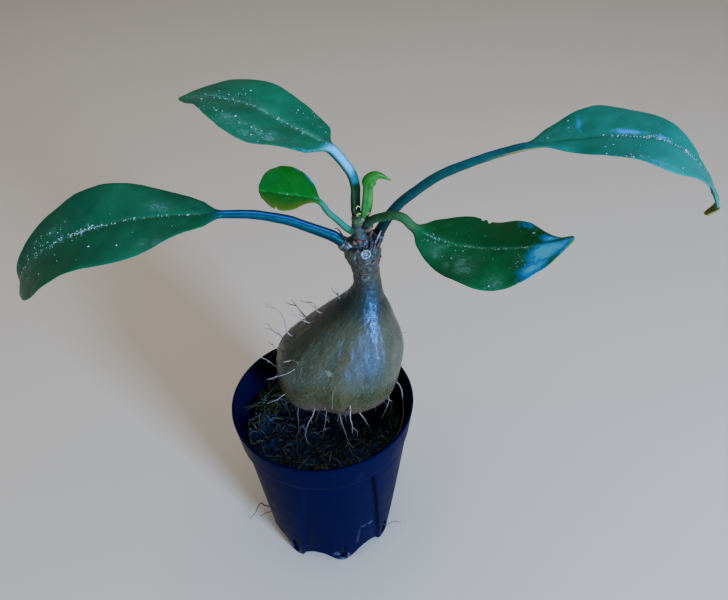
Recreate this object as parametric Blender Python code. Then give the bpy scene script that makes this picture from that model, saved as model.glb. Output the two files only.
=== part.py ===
"""A caudex ant plant in its small round nursery pot.

Metres, +Z up. The origin is the middle of the pot's underside, and -Y is the side
that the plant shows to the front. Sizes below are millimetres until they reach a mesh.
Bearings are in degrees: 0 is towards -Y, 90 is towards +X.
"""
import math

import bpy
import numpy as np

MM = 0.001
GAP = 0.3             # clearance between neighbouring solids

POT_HEIGHT = 64.0
MOUTH_RADIUS = 30.0   # outer radius of the pot at its rim
BASE_RADIUS = 22.6    # outer radius of the same cone at the ground
POT_WALL = 0.9
FLOOR_THICKNESS = 1.0
COLLAR_FOOT = 53.5    # the plain round collar ends here
COLLAR_STEP = 0.45    # the body right below it stands back by this much
RECESS_DEPTH = 0.95   # four wide panels in the body are sunk this deep along their sides
PANEL_SINK = 0.45     # and this deep in the middle of their top
RECESS_BEARING = 13.0
RECESS_HALF_TOP = 21.5
RECESS_HALF_FOOT = 37.0
RECESS_EDGE = 2.2     # degrees taken by the sloping side of a recess
ARCH_HEIGHT = 5.6     # eight feet stand on the ground with arches between them
FOOT_HALF_ANGLE = 0.5
ARCH_RISE = 20.0      # degrees from the end of a foot to the full height of the arch
FLAT_DISC = 10.0      # radius of the flat middle of the underside
SLOT_LOW, SLOT_HIGH = 2.8, 11.0

SOIL_TOP = 52.0
STUMP_HOLE = 6.6      # radius of the hole that the caudex's root stump stands in
STUMP_FOOT = 44.0
STUMP_MIDDLE = (6.8, 7.5)

BLADE_THICKNESS = 0.7
RIB_DEPTH = 1.0       # the midrib stands this far out below the blade

# Rows of the caudex from the root stump to the crown:
# height, centre x, centre y, half-width across, half-depth front to back
CAUDEX_ROWS = [
    (44.0, 7.0, 7.5, 5.2, 5.2), (50.0, 6.8, 7.5, 5.9, 5.9), (55.5, 6.3, 7.5, 6.3, 6.3),
    (58.6, 5.9, 7.5, 8.6, 7.8), (60.0, 5.6, 7.5, 12.6, 10.8), (62.0, 5.4, 7.5, 16.4, 13.8),
    (65.5, 5.2, 7.5, 19.4, 16.4), (70.0, 5.3, 7.5, 20.9, 17.6), (75.0, 5.8, 7.4, 21.0, 17.8),
    (80.0, 6.8, 7.3, 19.9, 17.0), (85.0, 8.6, 7.2, 17.4, 15.2), (89.5, 10.4, 7.1, 14.4, 12.9),
    (94.0, 12.2, 7.0, 11.2, 10.4), (98.0, 13.8, 7.0, 8.0, 7.8), (102.0, 15.0, 7.0, 5.4, 5.4),
    (106.0, 15.6, 7.0, 4.25, 4.25), (109.5, 15.4, 7.0, 4.05, 4.05), (113.4, 14.9, 7.0, 4.45, 4.4),
    (116.4, 14.6, 7.0, 4.8, 4.6), (118.8, 14.4, 7.0, 4.5, 4.4), (120.8, 14.3, 7.0, 3.7, 3.7),
    (122.6, 14.2, 7.0, 2.75, 2.75), (124.4, 13.8, 7.0, 2.15, 2.2), (126.3, 13.7, 7.0, 2.0, 2.1),
    (128.2, 14.0, 7.0, 2.25, 2.25), (129.4, 14.3, 7.0, 2.0, 2.1),
]
CROWN_FOOT = 106.0    # petioles are trimmed to the part of the caudex above this
CROWN_TOP = (14.3, 7.0, 130.0)

# Cushions that the two oldest petioles stand on: path points and radii
CUSHIONS = [
    ([(13.4, 7, 116.4), (10.8, 7, 118.8), (8.5, 6.9, 120.7)], (3.1, 2.4, 1.85)),
    ([(15.6, 7, 115.8), (17.1, 7.1, 119.4), (19.1, 7.4, 123.3)], (3.1, 2.4, 1.75)),
]

# Loose rootlets: path points, the first one well inside the caudex
ROOTLETS = [
    [(-4, 7, 83), (-9, 6, 86), (-11, 4, 97), (-15, 3, 102)],
    [(5, 8, 92), (0, 6, 96), (-1.5, 5, 100), (-3.5, 4, 101)],
    [(1, 8, 88), (-3, 6, 91.5), (-6, 3, 95.5), (-7.5, 2, 98)],
    [(-6, 7, 80), (-11, 6, 84), (-13.5, 5, 88), (-17, 4, 91)],
    [(-8, 6, 77), (-12.5, 5, 80.5), (-14.5, 4, 83), (-14.5, 3, 86)],
    [(-9, 5, 71), (-15, 4, 74), (-18, 3, 79), (-22.5, 2, 81)],
    [(-1, 2, 82), (-5.5, -5, 85), (-7.5, -8, 88.5), (-9.5, -9.5, 89.5)],
    [(-3, 2, 80), (-8, -5, 81.5), (-12, -8, 82), (-15, -9, 81.5)],
    [(-5, 2, 70), (-11, -4, 70), (-14, -6, 69), (-17.5, -7, 68.5)],
    [(-6, 2, 66), (-8, -5, 62.5), (-8, -7, 57), (-7.5, -7.5, 53.4)],
    [(0, 0, 70), (-2.5, -7.5, 65), (-5.5, -9.5, 57), (-4.5, -10.5, 53.6)],
    [(3, 0, 68), (1.5, -7, 63), (0.5, -8.5, 57), (-0.5, -9, 53.4)],
    [(5, 0, 67), (6, -7.5, 62), (8, -11.5, 57), (9.5, -15, 53.8), (12.5, -17.5, 53.4)],
    [(9, 0, 73), (9.5, -9, 71), (9.5, -11.5, 65), (9.5, -11.5, 59)],
    [(10, 2, 68), (12.5, -6, 63), (15, -7, 57.5), (17, -6.5, 53.5)],
    [(20, 5, 68), (25.3, 3, 66.5), (26.6, 0.5, 62), (26.4, -3, 57.5)],
    [(17, 4, 68), (22, -1.5, 63), (20.5, -4, 60.5), (19, -5, 58)],
    [(9, 8, 98), (6.5, 6.5, 101), (5, 6, 104), (5.5, 5.5, 105.5)],
    [(9, 15, 74), (3, 24.5, 73), (0, 25.5, 66), (-1, 24.5, 57.5)],
    [(14, 14, 70), (18, 20, 66), (18.4, 18.6, 59), (17.8, 17, 53.6)],
    [(0, 14, 80), (-7, 20.5, 83), (-10.5, 22, 88)],
]

# Leaves. stalk: petiole points from inside the crown to the blade, with the radius at both
# ends. vein: midrib points. far and near: half-widths of the blade's two sides at equal steps
# from base to tip. roll drops the near side, keel lifts both sides, wave ripples the edges.
LEAVES = {
    "leaf_left": dict(
        stalk=[(10.9, 7, 119.0), (8.5, 6.9, 121.0), (6.6, 6.7, 122.6), (2.7, 6.3, 124.8),
               (-1.3, 5.8, 126.9), (-5.2, 5.4, 128.9), (-9.1, 4.7, 130.4), (-14.5, 3.7, 132.1)],
        stalk_radii=(1.7, 1.15),
        vein=[(-21.6, 2, 133.4), (-34.5, -0.5, 134.8), (-47.3, -3.8, 135.2), (-59.9, -6.8, 133.2),
              (-71, -9, 127.6), (-75.8, -9.6, 122.2), (-77.4, -9.6, 116)],
        far=(1.3, 4.9, 9.1, 12.0, 13.5, 14.4, 14.4, 12.2, 7.4, 2.4, 0.7),
        near=(1.5, 5.8, 9.4, 12.3, 14.2, 15.3, 15.6, 15.4, 14.0, 10.0, 1.2),
        roll=-12, keel=5, wave=(0.9, 2.2, 0.4)),
    "leaf_upper": dict(
        stalk=[(13.6, 7.6, 126.6), (12.9, 8.3, 129.6), (12.8, 9.2, 132.9), (12.9, 10.2, 136),
               (12.1, 11.4, 139.3), (9.9, 12.7, 142.4)],
        stalk_radii=(1.3, 1.45),
        vein=[(7.1, 14, 145.4), (-1.1, 17.6, 149.3), (-9.3, 21.4, 152.3), (-17.9, 25.4, 154.6),
              (-27.1, 28.8, 155.2), (-36.6, 31, 154.0)],
        far=(1.6, 5.8, 8.6, 10.1, 11.1, 11.8, 12.4, 12.5, 11.2, 7.0, 0.6),
        near=(4.6, 8.6, 11.6, 14.4, 15.6, 15.3, 14.1, 12.0, 8.8, 5.0, 0.6),
        roll=-2, keel=3, wave=(0.8, 1.7, 1.1)),
    "leaf_right": dict(
        stalk=[(18.1, 7.3, 121.4), (19.4, 7.4, 123.8), (22.1, 7.9, 128.5), (24.8, 8.1, 132.0),
               (28.9, 8.2, 135.6), (34.9, 8, 140.3), (43, 7.5, 144.3), (50, 7, 147.1)],
        stalk_radii=(1.5, 1.1),
        vein=[(55.7, 6, 149.2), (67, 3.9, 152.0), (78.4, 1.9, 153.8), (89.8, -0.3, 152.6),
              (97.5, -1.8, 147.6), (102.6, -3.4, 141.4), (104.4, -4.2, 137.6), (101.9, -4.9, 135.3)],
        far=(1.5, 6.4, 10.3, 12.8, 13.4, 12.2, 8.4, 4.1, 2.7, 2.3, 0.8),
        near=(1.2, 2.2, 5.0, 8.6, 11.5, 12.9, 11.8, 8.6, 5.6, 4.0, 0.8),
        roll=-7, keel=3, wave=(0.8, 2.6, 2.3)),
    "leaf_lower_right": dict(
        stalk=[(13.9, 6.9, 125.6), (15.9, 5.5, 127.7), (17.7, 4.0, 129.8), (19.8, 2.0, 131.7),
               (21.8, 0.0, 133.3), (23.8, -1.6, 134.3), (25.7, -2.6, 134.0)],
        stalk_radii=(1.15, 1.25),
        vein=[(27.5, -3.4, 132.4), (34.6, -7.3, 130.2), (42.3, -11.1, 130.5), (50.1, -14.3, 131.9),
              (57.7, -17.3, 134.5), (64.4, -20, 138.6)],
        far=(1.6, 6.9, 9.8, 11.6, 12.2, 11.9, 12.1, 10.2, 6.4, 3.2, 0.7),
        near=(1.6, 4.8, 8.1, 11.4, 14.0, 15.3, 15.0, 13.4, 11.2, 8.9, 0.7),
        roll=-6, keel=0, wave=(0.7, 2.1, 3.4)),
    "leaf_young": dict(
        stalk=[(13.7, 6.6, 123.0), (12.2, 5.7, 124.6), (10.1, 4.6, 126.9), (8.1, 3.5, 129.9),
               (5.6, 2.2, 133.5)],
        stalk_radii=(1.0, 0.8),
        vein=[(3.9, 1.2, 137), (-0.7, -0.9, 139.9), (-5, -2.9, 141.9), (-10.4, -5, 143.9)],
        far=(1.2, 5.2, 7.8, 8.9, 9.4, 9.2, 8.5, 7.4, 6.0, 3.7, 0.6),
        near=(0.9, 1.2, 1.8, 2.7, 3.7, 4.7, 5.6, 6.0, 5.8, 4.6, 0.8),
        roll=-20, keel=8, wave=(0.2, 1.5, 0.0)),
}
SHOOT_PATH = [(14.8, 6.5, 127.6), (15.4, 6.3, 129.8), (16.0, 6.2, 132.6), (16.3, 6.2, 135.6),
              (16.5, 6.2, 138.6), (17.0, 6.2, 140.7), (18.4, 6.2, 141.8), (20.1, 6.2, 141.7),
              (21.3, 6.2, 141.1), (22.3, 6.2, 140.5)]
SHOOT_RADII = (0.8, 1.05, 1.45, 1.5, 1.45, 1.4, 1.25, 0.9, 0.5, 0.2)

# azimuth stations in one quarter of the pot, as (part, place): a column, then a recess
COLUMN, RECESS = 0, 1
QUARTER = [(COLUMN, k / 2 - 1) for k in range(5)] + [(RECESS, k / 5 - 1) for k in range(11)]
POT_STATIONS = 4 * len(QUARTER)


def clear_scene():
    for item in list(bpy.data.objects):
        bpy.data.objects.remove(item)


def smooth(x):
    x = np.clip(x, 0.0, 1.0)
    return x * x * (3 - 2 * x)


def flow(points, count):
    """Points at even steps along a smooth curve that passes through the given ones."""
    p = np.asarray(points, float)
    if p.ndim == 1:
        p = p[:, None]
    if p.shape[1] > 1:
        run = np.concatenate([[0.0], np.cumsum(np.linalg.norm(np.diff(p, axis=0), axis=1))])
    else:
        run = np.arange(len(p), dtype=float)
    slope = np.gradient(p, run, axis=0)
    at = np.linspace(0.0, run[-1], count)
    i = np.clip(np.searchsorted(run, at, side="right") - 1, 0, len(p) - 2)
    span = (run[i + 1] - run[i])[:, None]
    x = (at - run[i])[:, None] / span
    return ((2 * x**3 - 3 * x**2 + 1) * p[i] + (x**3 - 2 * x**2 + x) * span * slope[i]
            + (3 * x**2 - 2 * x**3) * p[i + 1] + (x**3 - x**2) * span * slope[i + 1])


def material(name, colour, roughness):
    shade = bpy.data.materials.new(name)
    shade.use_nodes = True
    surface = shade.node_tree.nodes["Principled BSDF"]
    surface.inputs["Base Color"].default_value = (*colour, 1.0)
    surface.inputs["Roughness"].default_value = roughness
    surface.inputs["Metallic"].default_value = 0.0
    return shade


def make_solid(name, points, faces, colour=(0.5, 0.5, 0.5), roughness=0.6):
    """One object from points in millimetres."""
    mesh = bpy.data.meshes.new(name)
    mesh.from_pydata((np.asarray(points) * MM).tolist(), [], faces)
    mesh.validate()
    mesh.materials.append(material(name, colour, roughness))
    mesh.shade_smooth()
    solid = bpy.data.objects.new(name, mesh)
    bpy.context.scene.collection.objects.link(solid)
    return solid


def ring_faces(rows, count, flipped=()):
    """Triangles between closed rings, and a fan at each end to the two points after them.

    flipped lists the columns whose quads are split along the other diagonal."""
    faces = []
    for i in range(rows - 1):
        for j in range(count):
            k = (j + 1) % count
            a, b = i * count + j, i * count + k
            c, d = a + count, b + count
            if j in flipped:
                faces += [(a, b, c), (b, d, c)]
            else:
                faces += [(a, b, d), (a, d, c)]
    first, last = rows * count, rows * count + 1
    for j in range(count):
        k = (j + 1) % count
        faces.append((first, k, j))
        faces.append((last, (rows - 1) * count + j, (rows - 1) * count + k))
    return faces


def loft(name, rings, start, end, colour, roughness, flipped=()):
    rings = np.asarray(rings, float)
    rows, count = rings.shape[:2]
    points = np.concatenate([rings.reshape(-1, 3), [start, end]])
    return make_solid(name, points, ring_faces(rows, count, flipped), colour, roughness)


def frames_along(path):
    """Unit tangent and two unit cross directions at each point of a path."""
    tangent = np.gradient(path, axis=0)
    tangent /= np.linalg.norm(tangent, axis=1)[:, None]
    side = np.empty_like(path)
    guess = np.array([0.31, 0.83, 0.47])
    for i, t in enumerate(tangent):
        guess = guess - t * (guess @ t)
        guess /= np.linalg.norm(guess)
        side[i] = guess
    return tangent, side, np.cross(tangent, side)


def tube(name, points, radii, steps, sides, colour, roughness, tip=0.5):
    """A round bar along a path. tip is how far its end bulges, as a share of the radius there."""
    path = flow(points, steps)
    radius = flow(radii, steps)
    tangent, side, up = frames_along(path)
    turn = np.arange(sides) * 2 * math.pi / sides
    rings = (path[:, None] + radius[:, :1, None] * (np.cos(turn)[None, :, None] * side[:, None]
                                                    + np.sin(turn)[None, :, None] * up[:, None]))
    start, end = path[0], path[-1] + tangent[-1] * radius[-1, 0] * tip
    return loft(name, rings, start, end, colour, roughness)


def recess_half_angle(height):
    share = np.clip(height / COLLAR_FOOT, 0.0, 1.0)
    return RECESS_HALF_FOOT + (RECESS_HALF_TOP - RECESS_HALF_FOOT) * share


def pot_bearings(height):
    """Bearings in degrees of the pot's stations at one height, column edges on the same stations."""
    half = recess_half_angle(height)
    turns = []
    for quarter in range(4):
        for part, place in QUARTER:
            if part == COLUMN:
                turns.append(RECESS_BEARING - 45 + 90 * quarter + place * (45 - half - RECESS_EDGE))
            else:
                turns.append(RECESS_BEARING + 90 * quarter + place * half)
    return np.array(turns)


def arch(bearing):
    """Height of the pot's lower edge: 0 at a foot, full between two feet."""
    from_foot = np.abs((bearing - RECESS_BEARING + 22.5) % 45 - 22.5)
    return ARCH_HEIGHT * smooth((from_foot - FOOT_HALF_ANGLE) / ARCH_RISE)


def pot_side(height, recessed, place):
    """Outer radius of the pot's side, with the collar, the step and the bulging sunk panels."""
    cone = BASE_RADIUS + (MOUTH_RADIUS - BASE_RADIUS) * height / POT_HEIGHT
    high = np.clip(height / COLLAR_FOOT, 0.0, 1.0)
    below = COLLAR_STEP * high * smooth((COLLAR_FOOT - height) / 0.8)
    panel = RECESS_DEPTH * place**2 + PANEL_SINK * high * (1 - place**2)
    return cone - below - panel * recessed * smooth((COLLAR_FOOT - 0.9 - height) / 0.9)


def pot_ring(height, inset):
    """One ring of the pot's side. height may be a number or a rule for each bearing."""
    bearing = pot_bearings(float(height) if not callable(height) else 3.0)
    level = height(bearing) if callable(height) else np.full(len(bearing), float(height))
    part, place = np.array(QUARTER * 4).T
    radius = pot_side(level, part == RECESS, place) - inset
    turn = np.radians(bearing)
    return np.stack([radius * np.sin(turn), -radius * np.cos(turn), level], -1)


def base_ring(radius, lift):
    """One ring of the raised base: flat in the middle, arched towards the edge."""
    bearing = pot_bearings(3.0)
    level = arch(bearing) * smooth((radius - FLAT_DISC) / 9.0) + lift
    turn = np.radians(bearing)
    return np.stack([radius * np.sin(turn), -radius * np.cos(turn), level], -1)


def pot():
    heights = (8.6, 22.0, 37.0, 51.8, 52.7, 53.6)
    lip = POT_HEIGHT
    outside = [base_ring(r, 0.0) for r in (5.0, FLAT_DISC, 14.0, 18.0)]
    outside += [pot_ring(arch, 1.2), pot_ring(lambda b: arch(b) + 1.4, 0.0)]
    outside += [pot_ring(h, 0.0) for h in heights] + [pot_ring(lip - 0.35, 0.0), pot_ring(lip, 0.3)]
    inside = [pot_ring(lip, POT_WALL - 0.3), pot_ring(lip - 0.35, POT_WALL)]
    inside += [pot_ring(h, POT_WALL) for h in heights[::-1]]
    inside += [pot_ring(lambda b: arch(b) + 2.0, POT_WALL),
               pot_ring(lambda b: arch(b) + FLOOR_THICKNESS + 0.1, POT_WALL + 1.1)]
    inside += [base_ring(r, FLOOR_THICKNESS) for r in (18.0, 14.0, FLAT_DISC, 5.0)]
    body = loft("pot", outside + inside, (0, 0, 0), (0, 0, FLOOR_THICKNESS), (0.012, 0.03, 0.11), 0.38)

    points, faces = [], []
    for k in range(8):
        turn = math.radians(RECESS_BEARING + 45 * k)
        out = np.array([math.sin(turn), -math.cos(turn), 0.0])
        along = np.array([math.cos(turn), math.sin(turn), 0.0])
        first = len(points)
        for depth in (18.6, 27.0):
            for height, half in ((SLOT_LOW, 1.25), (SLOT_HIGH, 0.6)):
                points.append(out * depth - along * half + (0, 0, height))
                points.append(out * depth + along * half + (0, 0, height))
        quads = [(0, 2, 3, 1), (4, 5, 7, 6), (0, 1, 5, 4), (2, 6, 7, 3), (0, 4, 6, 2), (1, 3, 7, 5)]
        faces += [tuple(first + v for v in quad) for quad in quads]
    slots = make_solid("slot_cutter", points, faces)
    cut_with(body, slots)
    return body


def cut_with(body, cutter, operation="DIFFERENCE"):
    cutter.hide_render = True
    cutter.display_type = "WIRE"
    cut = body.modifiers.new("cut", "BOOLEAN")
    cut.operation = operation
    cut.object = cutter
    cut.solver = "EXACT"


def soil_height(x, y):
    """Top of the soil: low lumps from a few crossed waves."""
    return (SOIL_TOP + 0.55 * np.sin(0.31 * x + 0.9) * np.cos(0.27 * y - 0.4)
            + 0.4 * np.sin(0.53 * y + 0.33 * x) + 0.3 * np.cos(0.71 * x - 0.45 * y + 1.7))


def soil():
    rings = [base_ring(r, FLOOR_THICKNESS + GAP) for r in (FLAT_DISC, 14.0, 17.8)]
    rings += [pot_ring(lambda b: arch(b) + FLOOR_THICKNESS + 0.2 + GAP, POT_WALL + 1.2 + GAP),
              pot_ring(lambda b: arch(b) + 2.1, POT_WALL + GAP)]
    rings += [pot_ring(h, POT_WALL + GAP) for h in (8.6, 22.0, 37.0)]
    rim = pot_ring(50.9, POT_WALL + GAP)
    for share in (1.0, 0.86, 0.68, 0.48, 0.26):
        ring = rim.copy()
        ring[:, :2] *= share
        if share < 1.0:
            ring[:, 2] = soil_height(ring[:, 0], ring[:, 1])
        rings.append(ring)
    # its quads are split the same way as those of the pot's inner wall, so the gap stays even
    body = loft("soil", rings, (0, 0, FLOOR_THICKNESS + GAP), (0, 0, soil_height(0.0, 0.0)),
                (0.022, 0.016, 0.011), 0.95, range(POT_STATIONS))
    x, y = STUMP_MIDDLE
    low, high = STUMP_FOOT - GAP, SOIL_TOP + 6
    turn = np.arange(24) * 2 * math.pi / 24
    hole = [np.stack([x + STUMP_HOLE * np.cos(turn), y + STUMP_HOLE * np.sin(turn),
                      np.full(24, level)], -1) for level in (low, high)]
    cut_with(body, loft("stump_hole", hole, (x, y, low), (x, y, high), (0, 0, 0), 1.0))
    return body


def caudex_rings(grow, rows, around=36):
    """Rings of the caudex: lobes and a shallow crease lengthwise, strongest at the widest part."""
    rings = []
    for height, cx, cy, rx, ry in rows:
        turn = np.arange(around) * 2 * math.pi / around
        fat = smooth((rx - 5.0) / 13.0)
        lumps = (0.028 * np.cos(3 * turn + 0.6 + 0.02 * height) + 0.018 * np.cos(5 * turn - 1.1)
                 + 0.014 * np.sin(7 * turn + 0.09 * height))
        crease = 0.035 * np.exp(-((turn - math.radians(257)) / 0.2) ** 2)
        swell = 1 + fat * (lumps - crease)
        rings.append(np.stack([cx + (rx + grow) * swell * np.cos(turn),
                               cy + (ry + grow) * swell * np.sin(turn), np.full(around, height)], -1))
    return rings


def fuse(body, parts):
    """Joins the parts to the body, applies the join and removes them."""
    group = bpy.data.collections.new("joined")
    bpy.context.scene.collection.children.link(group)
    for part in parts:
        bpy.context.scene.collection.objects.unlink(part)
        group.objects.link(part)
    join = body.modifiers.new("join", "BOOLEAN")
    join.operation = "UNION"
    join.operand_type = "COLLECTION"
    join.collection = group
    join.solver = "EXACT"
    bpy.context.view_layer.update()
    fused = bpy.data.meshes.new_from_object(body.evaluated_get(bpy.context.evaluated_depsgraph_get()))
    body.modifiers.clear()
    body.data = fused
    for part in list(group.objects):
        bpy.data.objects.remove(part)
    bpy.data.collections.remove(group)
    return body


def cushions(grow):
    """The cushions under the two oldest petioles, grown all round by the given clearance."""
    made = []
    for number, (points, radii) in enumerate(CUSHIONS):
        points = np.array(points, float)
        reach = points[-1] - points[-2]
        points[-1] += grow * reach / np.linalg.norm(reach)
        made.append(tube(f"cushion_{number}", points, np.array(radii) + grow, 7, 18,
                         (0.16, 0.15, 0.11), 0.6, 0.1))
    return made


def caudex():
    body = loft("caudex", caudex_rings(0.0, CAUDEX_ROWS), (7, 7.5, STUMP_FOOT), CROWN_TOP,
                (0.16, 0.15, 0.11), 0.6)
    rootlets = [tube(f"rootlet_{number}", path, (0.34, 0.3, 0.24), 7, 5, (0.4, 0.3, 0.2), 0.7)
                for number, path in enumerate(ROOTLETS)]
    return fuse(body, cushions(0.0) + rootlets)


def crown_cutter():
    """The top of the caudex grown by the gap, which trims the petioles to their seats."""
    rows = [row for row in CAUDEX_ROWS if row[0] >= CROWN_FOOT]
    x, y, z = CROWN_TOP
    foot = (rows[0][1], rows[0][2], CROWN_FOOT)
    body = loft("crown_cutter", caudex_rings(GAP, rows), foot, (x, y, z + GAP), (0, 0, 0), 1.0)
    return fuse(body, cushions(GAP))


ACROSS = (-1.0, -0.68, -0.36, -0.1, 0.0, 0.1, 0.36, 0.68, 1.0)


def leaf(name, spec, colour, roughness):
    """A blade and its petiole in one skin: round sections along the petiole flatten into the
    blade's, which carries a groove above the midrib and a ridge below it."""
    stalk_rows, blade_rows = 12, 21
    whole = flow(list(spec["stalk"]) + list(spec["vein"]), 200)
    start = int(np.argmin(np.linalg.norm(whole - np.array(spec["vein"][0]), axis=1)))
    pick = np.concatenate([np.linspace(0, start, stalk_rows + 1)[:-1], np.linspace(start, 199, blade_rows)])
    low = np.floor(pick).astype(int).clip(0, 198)
    part = (pick - low)[:, None]
    path = whole[low] * (1 - part) + whole[low + 1] * part
    tangent = np.gradient(path, axis=0)
    tangent /= np.linalg.norm(tangent, axis=1)[:, None]

    chord = np.array(spec["vein"][-1], float) - np.array(spec["vein"][0], float)
    level = np.array([chord[1], -chord[0], 0.0])
    level /= np.linalg.norm(level) * (1 if level[1] > 0 else -1)
    side = level - (tangent @ level)[:, None] * tangent
    side /= np.linalg.norm(side, axis=1)[:, None]
    rightward = chord[0] * level[1] - chord[1] * level[0] > 0
    up = np.cross(tangent, side) * (1 if rightward else -1)
    tilt = math.radians(spec["roll"])
    side, up = side * math.cos(tilt) - up * math.sin(tilt), up * math.cos(tilt) + side * math.sin(tilt)

    u = np.concatenate([np.zeros(stalk_rows), np.linspace(0, 1, blade_rows)])
    along = np.concatenate([np.linspace(0, 1, stalk_rows), np.ones(blade_rows)])
    blade = smooth(u / 0.1)
    far = np.interp(u, np.linspace(0, 1, 51), flow(spec["far"], 51)[:, 0])
    near = np.interp(u, np.linspace(0, 1, 51), flow(spec["near"], 51)[:, 0])
    radius = spec["stalk_radii"][0] + (spec["stalk_radii"][1] - spec["stalk_radii"][0]) * along
    tall, steps, phase = spec["wave"]

    v = np.array(ACROSS)
    width = np.where(v > 0, far[:, None], near[:, None]) * v
    ripple = tall * np.sin(2 * math.pi * steps * u[:, None] + phase + 1.2 * np.sign(v)) * v**2
    ripple *= (smooth(u / 0.2) * smooth((1 - u) / 0.1))[:, None]
    lift = math.tan(math.radians(spec["keel"])) * np.abs(width) + ripple
    rib = (1 - 0.75 * u)[:, None] * np.exp(-(v / 0.12) ** 2)
    half = BLADE_THICKNESS / 2
    top = lift + half - 0.25 * rib * blade[:, None]
    under = lift - half - RIB_DEPTH * rib
    flat = np.stack([np.concatenate([width, width[:, ::-1]], 1),
                     np.concatenate([top, under[:, ::-1]], 1)], -1)
    # the same points on a circle, from the near side over the top and back below
    turns = math.pi * (np.arange(2 * len(v))[::-1] + 0.5) / len(v) - math.pi
    circle = radius[:, None, None] * np.stack([np.cos(turns), np.sin(turns)], -1)[None]
    section = circle * (1 - blade)[:, None, None] + flat * blade[:, None, None]
    rings = path[:, None] + section[..., :1] * side[:, None] + section[..., 1:] * up[:, None]
    middle = rings[[0, -1]].mean(axis=1)
    under_columns = range(len(v), 2 * len(v) - 1)
    if rightward:
        rings = rings[:, ::-1]
        under_columns = range(0, len(v) - 1)
    return loft(name, rings, middle[0], middle[1], colour, roughness, set(under_columns))


def main():
    clear_scene()
    pot()
    soil()
    caudex()
    cutter = crown_cutter()
    green = (0.035, 0.11, 0.03)
    for name, spec in LEAVES.items():
        young = name == "leaf_young"
        cut_with(leaf(name, spec, (0.12, 0.3, 0.03) if young else green, 0.4), cutter)
    cut_with(tube("shoot_tip", SHOOT_PATH, SHOOT_RADII, 16, 10, (0.35, 0.5, 0.05), 0.35), cutter)
    bpy.context.view_layer.update()


main()
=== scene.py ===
"""Looks of a potted ant plant: a thick grey caudex with loose rootlets, five leaves and a rolled
shoot, standing in a small dark blue nursery pot.

Sizes are millimetres until a mesh is written. +Z is up, the origin is the middle of the pot's
underside, and -Y is the side that the plant shows to the front. Bearings are in degrees: 0 is
towards -Y, 90 is towards +X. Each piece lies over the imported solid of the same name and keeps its
form; what is added is finer than a solid can carry: veins, bark, hairs, moss and finishes.
"""

import math

import bpy
import numpy as np
from mathutils import Matrix


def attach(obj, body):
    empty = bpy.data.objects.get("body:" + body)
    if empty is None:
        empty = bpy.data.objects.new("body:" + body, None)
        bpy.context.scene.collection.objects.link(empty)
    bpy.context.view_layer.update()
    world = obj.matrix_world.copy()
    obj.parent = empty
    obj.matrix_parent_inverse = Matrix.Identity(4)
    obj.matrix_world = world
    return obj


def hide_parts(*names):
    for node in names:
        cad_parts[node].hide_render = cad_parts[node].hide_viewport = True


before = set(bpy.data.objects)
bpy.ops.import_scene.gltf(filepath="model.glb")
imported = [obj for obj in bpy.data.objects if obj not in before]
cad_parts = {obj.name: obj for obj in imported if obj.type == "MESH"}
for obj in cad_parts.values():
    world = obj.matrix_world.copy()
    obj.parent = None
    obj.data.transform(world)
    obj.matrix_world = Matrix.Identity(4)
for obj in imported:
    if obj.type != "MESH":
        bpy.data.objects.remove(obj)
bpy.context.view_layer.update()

MM = 0.001

POT_HEIGHT = 64.0
MOUTH_RADIUS = 30.0
BASE_RADIUS = 22.6
POT_WALL = 0.9
FLOOR_THICKNESS = 1.0
COLLAR_FOOT = 53.5
COLLAR_STEP = 0.45
RECESS_DEPTH = 0.95
PANEL_SINK = 0.45
RECESS_BEARING = 13.0
RECESS_HALF_TOP = 21.5
RECESS_HALF_FOOT = 37.0
RECESS_EDGE = 2.2
ARCH_HEIGHT = 5.6
FOOT_HALF_ANGLE = 0.5
ARCH_RISE = 20.0
FLAT_DISC = 10.0
SLOT_LOW, SLOT_HIGH = 2.8, 11.0           # drain slots: height of both ends,
SLOT_HALF_LOW, SLOT_HALF_HIGH = 1.25, 0.6  # half-width there,
SLOT_INNER, SLOT_OUTER = 18.6, 27.0       # and how far from the axis they are cut
ARC = 0.42              # millimetres round the pot for one degree of a scuff's bearing
PANEL_ARC = 0.45        # and of a panel's edge

GAP = 0.3               # clearance between the soil and what holds or stands in it
SOIL_TOP = 52.0
SOIL_RIM = 50.9
SOIL_RADIUS = 25.5      # crumbs and strands are strewn over a disc of this radius,
STRAND_REACH = 25.8     # and no point of a strand lies further from the axis than this,
TUFT_REACH = 25.4       # nor the foot of a moss tuft's strand further than this
# Scuffs on the pot: bearing and height of both ends, half-width, strength
POT_SCUFFS = [
    ((29, 21), (33, 20.4), 0.4, 0.2), ((37, 19.8), (40, 19.4), 0.45, 0.4),
    ((27.5, 19), (25.5, 11), 0.4, 0.14), ((6, 6.6), (8, 6.2), 0.7, 0.45),
    ((10.5, 2.6), (12, 1.0), 0.7, 0.5), ((16.5, 4.2), (18, 1.6), 0.45, 0.5),
    ((-38, 6.5), (-35.5, 3.6), 0.6, 0.8), ((-29, 5), (-28, 2.4), 0.4, 0.4),
    ((24, 55.5), (26, 56), 0.6, 0.3), ((66, 7.6), (68, 5.4), 0.8, 1.0),
    ((57, 1.2), (60, 1.0), 0.8, 0.6), ((103, 1.4), (104, 0.6), 0.9, 0.8),
    ((150, 2.2), (152, 0.6), 0.8, 0.8), ((-77, 2.0), (-79, 0.6), 0.8, 0.8),
    ((-120, 24), (-131, 21), 0.4, 0.6), ((170, 30), (178, 33), 0.4, 0.5),
]
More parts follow.
